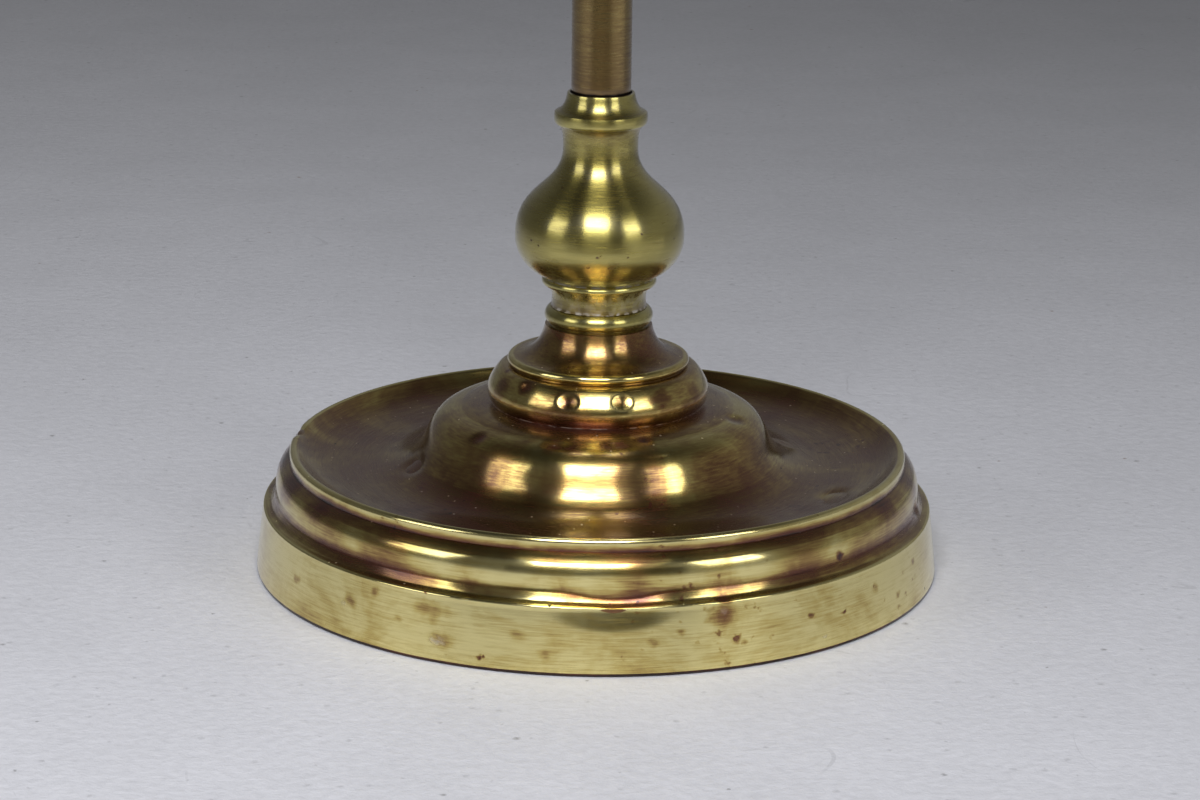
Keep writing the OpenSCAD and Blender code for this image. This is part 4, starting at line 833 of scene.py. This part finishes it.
def collar_outline():
    sleeve_r = lower_r + 2.2
    waist_r = sleeve_r + 0.4
    bead_r = sleeve_r + 2.6
    mouth_r = upper_r + 0.68
    pole_seat_r = lower_r + 0.05
    bush_r = high("collar_bush", X)
    bush_z1 = high("collar_bush")
    z0, z1 = collar_z0, collar_z1
    outside = [
        *worn([(sleeve_r - 0.8, z0), (sleeve_r - 0.2, z0 + 0.25), (sleeve_r, z0 + 0.8), (sleeve_r, z0 + 7)],
              0.15),
        *worn(arc((sleeve_r + 0.4, z0 + 9.2), 2.2, -80, 80, 12), 0.1),
        *worn([(waist_r, z0 + 12)], 0.5, chalk=0.6),
        *worn([(waist_r, z0 + 14), (waist_r, z0 + 20)], 0.25),
        *worn(curve((waist_r, z0 + 20.4), (waist_r + 0.2, z0 + 23), (bead_r, z0 + 24), (bead_r, z0 + 27),
                    10), 0.2),
        *worn([(bead_r, z1 - 9)], 0.15),
        *worn(curve((bead_r, z1 - 8.6), (bead_r, z1 - 4), (mouth_r + 3.2, z1 - 3.4),
                    (mouth_r + 2.4, z1 - 0.4), 10),
              0.15, 0.2),
        *worn([(mouth_r + 2, z1)], 0.15),
    ]
    bores = [(mouth_r, z1), (mouth_r, bush_z1), (bush_r, bush_z1), (bush_r, lower_z1),
             (pole_seat_r, lower_z1), (pole_seat_r, z0)]
    return [*outside, *bores, outside[0]]


def socket_outline():
    sleeve_r = upper_r + 2
    bead_r = upper_r + 4.4
    z0, z1 = socket_z0, socket_z1
    return solid([
        *worn([(sleeve_r - 0.8, z0), (sleeve_r - 0.2, z0 + 0.25), (sleeve_r, z0 + 0.8), (sleeve_r, z0 + 6)],
              0.15),
        *worn(arc((sleeve_r + 0.2, z0 + 8), 2, -80, 80, 12), 0.1),
        *worn(curve((sleeve_r, z0 + 10.6), (sleeve_r, z0 + 14), (bead_r - 2, z1 - 10), (bead_r, z1 - 4),
                    12), 0.25),
        *worn(arc((bead_r - 1, z1 - 2), 1.6, -30, 70, 8), 0.1),
        *worn([(block_r - 1, z1)], 0.3),
    ], upper_r + 0.05)


def finial_outline():
    z = low("swivel_finial")
    return solid([
        *worn([(block_r - 2.4, z), (block_r - 1.8, z + 0.3), (block_r - 1.6, z + 0.8),
               (block_r - 1.6, z + 2.2)], 0.1),
        *worn(curve((block_r - 2.4, z + 2.8), (block_r - 5, z + 3.2), (block_r - 5.6, z + 4.6),
                    (block_r - 5.4, z + 6), 8), 0.4, chalk=0.4),
        *worn(curve((block_r - 5, z + 6.3), (block_r - 1.6, z + 8), (block_r - 2, z + 15), (2.6, z + 17.6),
                    18), 0.12),
        *worn(arc((1, z + 19.2), 1.9, -50, 90, 10), 0.1),
        *worn([(0.3, z + 21.1)], 0.1),
    ])


def thumb_screw_outline():
    """Along its own axis from its tip, with a straight knurl on the head."""
    tip = low("height_screw", X)
    end = high("height_screw", X)
    head_r = (high("height_screw") - low("height_screw")) / 2
    head_x0 = end - 9.4
    return solid([
        *worn([(2.5, tip), (2.5, head_x0 - 4.6), (3.4, head_x0 - 4.6), (3.7, head_x0 - 4.2),
               (3.7, head_x0 - 0.1)],
              0.3),
        *worn([(head_r - 1, head_x0), (head_r - 0.5, head_x0 + 0.1)], 0.2),
        *worn([(head_r, head_x0 + 0.8), (head_r, head_x0 + 7.2)], 0.1, knurl=1.0),
        *worn([(head_r - 0.5, head_x0 + 7.9), (head_r - 1.2, head_x0 + 8)], 0.1),
        *worn(curve((head_r - 1.6, head_x0 + 8), (head_r - 2, head_x0 + 9), (head_r - 5, head_x0 + 9.4),
                    (0.3, head_x0 + 9.4), 10), 0.15),
    ])


settle(turn("turned_baluster", baluster_outline(), turned_brass, 240), "turned_brass", "baluster")
settle(turn("lower_pole_tube", stepped_pole_outline(), tube_brass, 96), "brass_tube", "lower_pole")
settle(turn("upper_pole_tube", tube_outline(upper_r, upper_z0, upper_z1, 0.35), tube_brass, 96), "brass_tube",
       "upper_pole")
settle(turn("collar_turned", collar_outline(), turned_brass, 144), "turned_brass", "pole_collar")
boss_outline = solid([(5, 11), (5, 18.8), (4.75, 19.15), (4.4, 19.25)], 2.6)
settle(turn("collar_boss", boss_outline, knob_brass, 72, lying(0, screw_z)), "turned_brass", body="base")
settle(turn("height_thumb_screw", thumb_screw_outline(), knob_brass, 288, lying(0, screw_z), 36, 0.6),
       "turned_brass", "height_screw")
settle(turn("head_socket_turned", socket_outline(), turned_brass, 144), "turned_brass", "head_socket")
settle(turn("swivel_finial_turned", finial_outline(), turned_brass, 128), "turned_brass", "swivel_finial")
settle(refine("swivel_block_filed", "swivel_block", cast_brass, 0.5, 3), "turned_brass", "swivel_block")

# ---------------------------------------------------------------- arm


def ferrule_outline():
    sleeve_r = arm_r + 1.4
    spigot_hole_r = 4.05
    length = high("arm_ferrule", X) - low("arm_ferrule", X)
    return solid([
        *worn([(sleeve_r - 0.6, 0), (sleeve_r - 0.15, 0.2), (sleeve_r, 0.6), (sleeve_r, 4)], 0.15),
        *worn(arc((sleeve_r + 0.2, 5.8), 1.7, -80, 80, 10), 0.1),
        *worn([(sleeve_r, 8), (sleeve_r, length - 2), (sleeve_r - 0.2, length - 0.8),
               (sleeve_r - 0.8, length)], 0.15),
    ], spigot_hole_r)


arm_outline = tube_outline(arm_r, 0, arm_x1 - arm_x0)
settle(turn("arm_tube_drawn", arm_outline, arm_tube_brass, 96, lying(arm_x0, head_z)), "brass_tube",
       "arm_tube")
settle(turn("arm_ferrule_turned", ferrule_outline(), arm_brass, 112, lying(low("arm_ferrule", X), head_z)),
       "turned_brass", "arm_ferrule")
for node, ending, bevel in (("arm_knuckle", "_filed", 0.5), ("tip_fork", "_filed", 0.5),
                            ("shade_knuckle", "_filed", 0.5), ("arm_wing_nut", "_cast", 0.7),
                            ("shade_wing_nut", "_cast", 0.7), ("arm_screw", "_slotted", 0.2),
                            ("shade_screw", "_slotted", 0.2)):
    settle(refine(node + ending, node, cast_brass, bevel, 3), "turned_brass", node)

# ---------------------------------------------------------------- shade and lampholder


def shade_outside():
    crown_r = ring_r + 3.5
    edge_r = 2
    waist_r = shade_r - 5.4
    z = high("shade")
    return [
        *worn(curve((shade_r - edge_r, mouth_z + 2 * edge_r - 0.5), (shade_r - 3.2, mouth_z + 9),
                    (waist_r + 0.4, mouth_z + 13), (waist_r, mouth_z + 17), 12), 0.2, 0.15),
        *worn(curve((waist_r - 0.1, mouth_z + 17.5), (waist_r - 3.6, mouth_z + 52),
                    (shade_r * 0.66, z - 17), (crown_r + 6, z - 9), 34), 0.12, 0.3),
        *worn(curve((crown_r + 5.5, z - 8.9), (crown_r + 1.5, z - 8.2), (crown_r + 1, z - 6),
                    (crown_r + 0.6, z - 3), 8), 0.55, 0.3),
        *worn(arc((crown_r - 1.6, z - 2.2), 2.2, 0, 90, 8), 0.1, 0.2),
        *worn([(holder_r + 0.05, z)], 0.35),
    ]


def venting_tree():
    """Drills a ring of round holes down through a shade."""
    tree, put, given = new_tree("venting", {"Shade": "Geometry", "Holes": "Int", "Ring radius": "Float",
                                            "Hole radius": "Float", "Height": "Float", "Centre": "Vector",
                                            "Finish": "Material"})
    ring = put("GeometryNodeMeshCircle", {"Vertices": given["Holes"], "Radius": given["Ring radius"]})
    half_step = put(MATH, (math.pi, given["Holes"]), operation="DIVIDE")
    turned = put(JOIN, {"Z": half_step})
    ring = put("GeometryNodeTransform",
               {"Geometry": ring, "Translation": given["Centre"], "Rotation": turned})
    drill = put("GeometryNodeMeshCylinder",
                {"Vertices": 32, "Radius": given["Hole radius"], "Depth": given["Height"]})
    drills = put("GeometryNodeInstanceOnPoints", {"Points": ring, "Instance": drill.outputs["Mesh"]})
    shape = put("GeometryNodeMeshBoolean", (given["Shade"], drills), operation="DIFFERENCE")
    shape = put("GeometryNodeRealizeInstances", {"Geometry": shape})
    shape = put("GeometryNodeSetMaterial", {"Geometry": shape, "Material": given["Finish"]})
    put("NodeGroupOutput", {"Result": shape})
    return tree


def spun_shade():
    """The shade with a wired edge, its vents, and white enamel on its inner wall."""
    outside = shade_outside()
    wall = worn(inset(outside, 0.9), 0.3, lined=1.0)
    edge = worn(arc((shade_r - 2, mouth_z + 2), 2, -140, 85, 16), 0.05)
    piece = turn("spun_shade", [*edge, *outside, *reversed(wall), edge[0]], shade_brass, 288,
                 upright(shade_x))
    drill_z = high("shade") - 14
    baked(piece, venting_tree(), Holes=12, Ring_radius=(ring_r + 15.5) * MM, Hole_radius=3 * MM,
          Height=30 * MM, Centre=Vector((shade_x, 0, drill_z)) * MM, Finish=shade_brass)
    mesh = piece.data
    mesh.materials.clear()
    mesh.materials.append(shade_brass)
    mesh.materials.append(enamel)
    lined = mesh.attributes["lined"].data
    for face in mesh.polygons:
        face.material_index = int(all(lined[v].value > 0.5 for v in face.vertices))
    crease(mesh)
    return settle(piece, "shade_brass", "shade")


def cap_outline():
    top_r = holder_r + 0.5
    outside = [
        *worn([(top_r - 0.2, body_z1), (top_r, body_z1 + 0.3), (top_r, body_z1 + 3)], 0.15),
        *worn(curve((holder_r + 0.2, body_z1 + 3.6), (holder_r - 0.6, body_z1 + 9), (12, cap_z - 3.5),
                    (10, cap_z - 1), 16), 0.3, 0.2),
        *worn([(9.6, cap_z - 0.3), (9, cap_z)], 0.2),
    ]
    ceiling = curve((holder_bore_r, body_z1 + 3.2), (17.1, body_z1 + 7), (11, cap_z - 5.5), (9, cap_z - 3), 8)
    inside = [(rod_hole_r, cap_z), (rod_hole_r, cap_z - 2), (9, cap_z - 3), *reversed(ceiling),
              (holder_bore_r, body_z1)]
    return [*outside, *worn(inside, 0.5), outside[0]]


def body_outline():
    """The lampholder's barrel, with a rolled thread that the shade rings run on."""
    turns, pitch = 10, 2
    thread = [(holder_r - 0.25 + 0.25 * math.cos(math.pi * k / 4), body_z0 + 1 + pitch * k / 8)
              for k in range(8 * turns + 1)]
    return solid([*worn([(holder_r - 0.6, body_z0), *thread], 0.35),
                  *worn([(holder_r, body_z0 + 22), (holder_r, body_z1)], 0.2)], holder_bore_r)


def ring_outline(node):
    z0, z1 = low(node), high(node)
    return solid([
        *worn([(ring_r - 0.9, z0), (ring_r - 0.5, z0 + 0.15)], 0.2),
        *worn([(ring_r, z0 + 0.6), (ring_r, z1 - 0.6)], 0.1, knurl=1.0),
        *worn([(ring_r - 0.5, z1 - 0.15), (ring_r - 0.9, z1)], 0.2),
    ], holder_r + 0.05)


def globe_outline():
    globe_r = (high("bulb_glass", X) - low("bulb_glass", X)) / 2
    globe_z = low("bulb_glass") + globe_r
    top_z = high("bulb_glass")
    glass_r = 11.8
    join = math.degrees(math.asin((glass_r + 2.5) / globe_r))
    shoulder = globe_z + globe_r * math.cos(math.radians(join))
    outside = [*arc((0, globe_z), globe_r, -90, 90 - join, 40),
               *curve((glass_r + 2, shoulder + 0.8), (glass_r + 0.6, top_z - 4), (glass_r, top_z - 2),
                      (glass_r, top_z), 8)]
    inner = inset(outside, 0.9)
    inner[0] = (0, globe_z - globe_r + 0.9)
    return [*worn(outside, 0), *worn(list(reversed(inner)), 0)]


def bulb_cap_outline():
    thread = [(12.75 + 0.45 * math.cos(math.pi * k / 4), bulb_cap_z1 - 18 + 3 * k / 8) for k in range(41)]
    return solid(worn([(12.6, low("bulb_cap")), *thread, (12.2, bulb_cap_z1 - 2), (7.4, bulb_cap_z1 - 0.2),
                       (7, bulb_cap_z1)], 0.2), 5)


spun_shade()
over_shade = upright(shade_x)
settle(turn("holder_cap_stamped", cap_outline(), holder_brass, 144, over_shade), "turned_brass", "holder_cap")
settle(turn("holder_barrel", body_outline(), holder_brass, 144, over_shade), "turned_brass", "holder_body")
key_boss_outline = solid([(3.6, holder_r - 0.7), (3.6, holder_r + 2.6), (3.2, holder_r + 3)], 1.9)
towards_key = upright(shade_x, 0, key_z) @ Matrix.Rotation(math.radians(-90), 4, "X")
settle(turn("switch_boss", key_boss_outline, holder_brass, 48, towards_key), "turned_brass",
       body="shade_head")
for node in ("upper_shade_ring", "lower_shade_ring"):
    settle(turn(node + "_knurled", ring_outline(node), holder_brass, 480, over_shade, 60, 0.5),
           "turned_brass", node)
settle(refine("switch_key_stamped", "switch_key", cast_brass, 0.4, 3), "turned_brass", "switch_key")
settle(turn("bulb_globe", globe_outline(), opal_glass, 128, over_shade), "opal_glass", "bulb_glass")
settle(turn("bulb_cap_rolled", bulb_cap_outline(), bulb_metal, 96, over_shade), "bulb_metal", "bulb_cap")
settle(refine("holder_porcelain_glazed", "holder_porcelain", porcelain, 0.4, 3), "porcelain",
       "holder_porcelain")

# ---------------------------------------------------------------- carried-over nodes

FINISHES = {
    steel: ("weight_spacer", "tie_rod", "tie_washer", "tie_nut", "swivel_spigot", "arm_spigot",
            "holder_nipple"),
    cast_iron: ("base_weight",),
    fibre: ("collar_bush", "outlet_bush", "inlet_bush"),
    red_fibre: ("swivel_washer", "arm_washers", "shade_washers"),
    contact_brass: ("gland_nut", "pole_plug", "guide_ring", "stop_ring", "tip_nut", "holder_thread",
                    "centre_contact", "terminal_screws"),
    black_glass: ("bulb_contact",),
}
for finish, members in FINISHES.items():
    for node in members:
        mesh = frame["nodes"][node].data
        mesh.materials.clear()
        mesh.materials.append(finish)

# ---------------------------------------------------------------- floor, light and camera

FLOOR_HALF = 22.0
# Painted light: how pale the floor is painted, by metres from a point a little in front of the lamp, a
# painted pool of light with its falloff
PAINTED_POOL_CENTRE = (0.0, -0.3, 0.0)
FLOOR_PAINTED_FALLOFF = ((0.0, 0.73), (0.18, 0.715), (0.4, 0.62), (0.66, 0.53), (1.0, 0.44), (1.44, 0.37), (2.3, 0.37),
               (3.4, 0.8), (5.0, 0.9))
COOL_WHITE = (0.975, 0.985, 1.065, 1.0)
# Repeats in a metre: orange peel of 4 mm, scuffs of 70 mm, hair scratches 110 mm apart
PEEL, SCUFFS, HAIRS = 240.0, 14.0, 9.0
# Crumbs on the floor: how many lie along a metre, the share of places without one, how dark, its colour
FLOOR_CRUMBS = ((110.0, 0.8, 0.22, "#4d4a47"), (47.0, 0.9, 0.55, "#4d4a47"), (19.0, 0.88, 0.7, "#6a4a2f"))
# How bright the room is at each side, and what share of that its ceiling has
WALL_LEFT = 0.09
WALL_RIGHT = 0.25
CEILING = 0.2
# What the camera sees beyond the floor
BACKDROP = (0.1, 0.1, 0.104, 1.0)


def painted_floor():
    """A floor rolled with white paint: a fine orange peel, faint scuffs, hair scratches and a few crumbs,
    under a painted pool of light and painted shade towards its right.
    """
    material, put, shader = new_material("rolled_white_floor_paint", Roughness=0.6)
    place = put("ShaderNodeTexCoord").outputs["Object"]
    away = put(VECTOR, (place, PAINTED_POOL_CENTRE), operation="DISTANCE")
    reach = FLOOR_PAINTED_FALLOFF[-1][0]
    reached = put(MATH, (away, reach), operation="DIVIDE")
    # Painted pool of light: palest near the lamp and darker away from it
    painted_pool = put(RAMP, (reached,), stops=[(metres / reach, tone) for metres, tone in FLOOR_PAINTED_FALLOFF])
    tint = put(MIX, {"Factor": 1.0, "A": painted_pool, "B": COOL_WHITE}, data_type="RGBA", blend_type="MULTIPLY")
    # Painted shade: the floor is painted darker towards its right side
    side = put(RANGE, (put(SPLIT, (place,)).outputs["X"], -0.35, 0.35, 1.06, 0.88))
    peel = put(NOISE, {"Vector": place, "Scale": PEEL, "Detail": 5.0, "Roughness": 0.6})
    scuffs = put(NOISE, {"Vector": place, "Scale": SCUFFS, "Detail": 6.0, "Roughness": 0.7})
    mottle = put(RANGE, (scuffs, 0.3, 0.7, 0.96, 1.04))
    hairs = put(NOISE, {"Vector": place, "Scale": HAIRS, "Detail": 1.0, "Distortion": 1.2})
    off_line = put(MATH, (hairs, 0.5, 0.0025), operation="COMPARE")
    shown = put(RANGE, (scuffs, 0.55, 0.6, 0.0, 0.12))
    scratch = put(MATH, (off_line, shown), operation="MULTIPLY")
    grime = put(RANGE, (peel, 0.3, 0.7, 0.95, 1.05))
    patchy = put(MATH, (mottle, grime), operation="MULTIPLY")
    shade = put(MATH, (put(MATH, (patchy, scratch), operation="SUBTRACT"), side), operation="MULTIPLY")
    paint = put(VECTOR, {0: tint, "Scale": shade}, operation="SCALE")
    wander = put(NOISE, {"Vector": place, "Scale": 700.0, "Detail": 2.0})
    shaken = put(VECTOR, (wander.outputs["Color"], (0.002, 0.002, 0.0), place), operation="MULTIPLY_ADD")
    for many, bare, strength, code in FLOOR_CRUMBS:
        motes = put(CELLS, {"Vector": shaken, "Scale": many, "Randomness": 1.0}, voronoi_dimensions="2D")
        chance = put(SPLIT, (motes.outputs["Color"],))
        few = put(RANGE, (chance.outputs["X"], bare, bare + 0.02, 0.0, 1.0))
        wide = put(RANGE, (chance.outputs["Y"], 0.0, 1.0, 0.0005 * many, 0.0016 * many))
        dots = put(RANGE, (motes.outputs["Distance"], 0.0002 * many, wide, strength, 0.0))
        dirt = put(MATH, (few, dots), operation="MULTIPLY")
        paint = put(MIX, {"Factor": dirt, "A": paint, "B": colour(code)}, data_type="RGBA")
    bump = put("ShaderNodeBump", {"Height": peel, "Strength": 0.35, "Distance": 0.0015})
    wire(shader, Base_Color=paint, Normal=bump)
    mesh = bpy.data.meshes.new("floor")
    half = FLOOR_HALF
    mesh.from_pydata([(-half, -half, 0), (half, -half, 0), (half, half, 0), (-half, half, 0)], [],
                     [(0, 1, 2, 3)])
    mesh.materials.append(material)
    new_piece("floor", mesh)


def panel(name, finish, corners_at):
    """A flat panel that only reflections see."""
    sheet = new_piece(name, bpy.data.meshes.new(name))
    sheet.data.from_pydata(corners_at, [], [(0, 1, 2, 3)])
    sheet.data.materials.append(finish)
    sheet.visible_camera = False
    sheet.visible_diffuse = False
    sheet.visible_shadow = False


def softbox(name, azimuth, elevation, width_deg, height_deg, level, distance=3.0):
    """A soft box facing the lamp's foot. Azimuth is to the right of the front, and level 1 is white."""
    a, e = math.radians(azimuth - 90), math.radians(elevation)
    outward = Vector((math.cos(a) * math.cos(e), math.sin(a) * math.cos(e), math.sin(e)))
    data = bpy.data.lights.new(name, "AREA")
    data.shape = "RECTANGLE"
    data.size = 2 * distance * math.tan(math.radians(width_deg / 2))
    data.size_y = 2 * distance * math.tan(math.radians(height_deg / 2))
    data.energy = level * math.pi * data.size * data.size_y
    lamp = bpy.data.objects.new(name, data)
    lamp.location = outward * distance + Vector((0, 0, 0.1))
    lamp.rotation_euler = outward.to_track_quat("Z", "Y").to_euler()
    lamp.visible_camera = False
    bpy.context.scene.collection.objects.link(lamp)


def studio_air():
    """A room with its pale wall to the right, its left side dimmer and its ceiling dark."""
    world = bpy.data.worlds.new("studio")
    world.use_nodes = True
    put = functools.partial(add, world.node_tree)
    way = put(SPLIT, (put("ShaderNodeTexCoord").outputs["Generated"],))
    walls = put(RANGE, (way.outputs["X"], -1.0, 1.0, WALL_LEFT, WALL_RIGHT))
    rise = put(RANGE, (way.outputs["Z"], 0.5, 0.9, 1.0, CEILING))
    level = put(MATH, (walls, rise), operation="MULTIPLY")
    seen = put("ShaderNodeLightPath").outputs["Is Camera Ray"]
    air = put(MIX, {"Factor": seen, "A": level, "B": BACKDROP}, data_type="RGBA")
    wire(world.node_tree.nodes["Background"], Color=air)
    bpy.context.scene.world = world


# What the brass mirrors besides the soft boxes: woollen cloth, dull grey, and matt white card
grey_cloth = grainy("grey_wool_cloth", ((0.3, "#5c5a57"), (0.7, "#66635f")), 0.95, 300.0, 0.1)
white_card = grainy("white_card", ((0.3, "#f2f1ee"), (0.7, "#ecebe8")), 0.8, 300.0, 0.02)
painted_floor()
panel("grey_mat", grey_cloth, [(-1.0, -1.7, 0.002), (1.0, -1.7, 0.002), (0.5, -0.43, 0.002),
                               (-0.5, -0.43, 0.002)])
panel("grey_screen", grey_cloth, [(-1.0, -1.7, 0.0), (1.0, -1.7, 0.0), (1.0, -1.7, 0.85), (-1.0, -1.7, 0.85)])
panel("pale_card", white_card, [(0.55, -0.42, 0.004), (1.4, -0.6, 0.004), (1.4, 0.2, 0.004),
                                (0.55, 0.02, 0.004)])
# The key box is brightest at its middle
softbox("key_box", -1, 48, 40, 38, 0.45)
softbox("key_core", -5, 44, 29, 24, 11.0, 2.8)
softbox("right_box", 49, 28, 21, 24, 3.5)
softbox("left_box", -65, 26, 24, 24, 2.5)
softbox("back_box", 180, 72, 14, 16, 2.5)
studio_air()

# The camera's distance from the lamp's foot, its angle above it, and how it is turned in degrees
EYE_DISTANCE = 1.2
EYE_RISE = math.radians(18.7)
EYE_PITCH, EYE_YAW, EYE_ROLL = 16.0246, -0.0394, 0.65
EYE_LENS = 101.5
eye = bpy.data.objects.new("camera", bpy.data.cameras.new("camera"))
eye.data.lens = EYE_LENS
eye.matrix_world = (Matrix.Translation((0, -EYE_DISTANCE * math.cos(EYE_RISE),
                                        EYE_DISTANCE * math.sin(EYE_RISE)))
                    @ Matrix.Rotation(math.radians(EYE_YAW), 4, "Z")
                    @ Matrix.Rotation(math.radians(90 - EYE_PITCH), 4, "X")
                    @ Matrix.Rotation(math.radians(EYE_ROLL), 4, "Z"))
bpy.context.scene.collection.objects.link(eye)
bpy.context.scene.camera = eye
bpy.context.scene.view_settings.view_transform = "Standard"
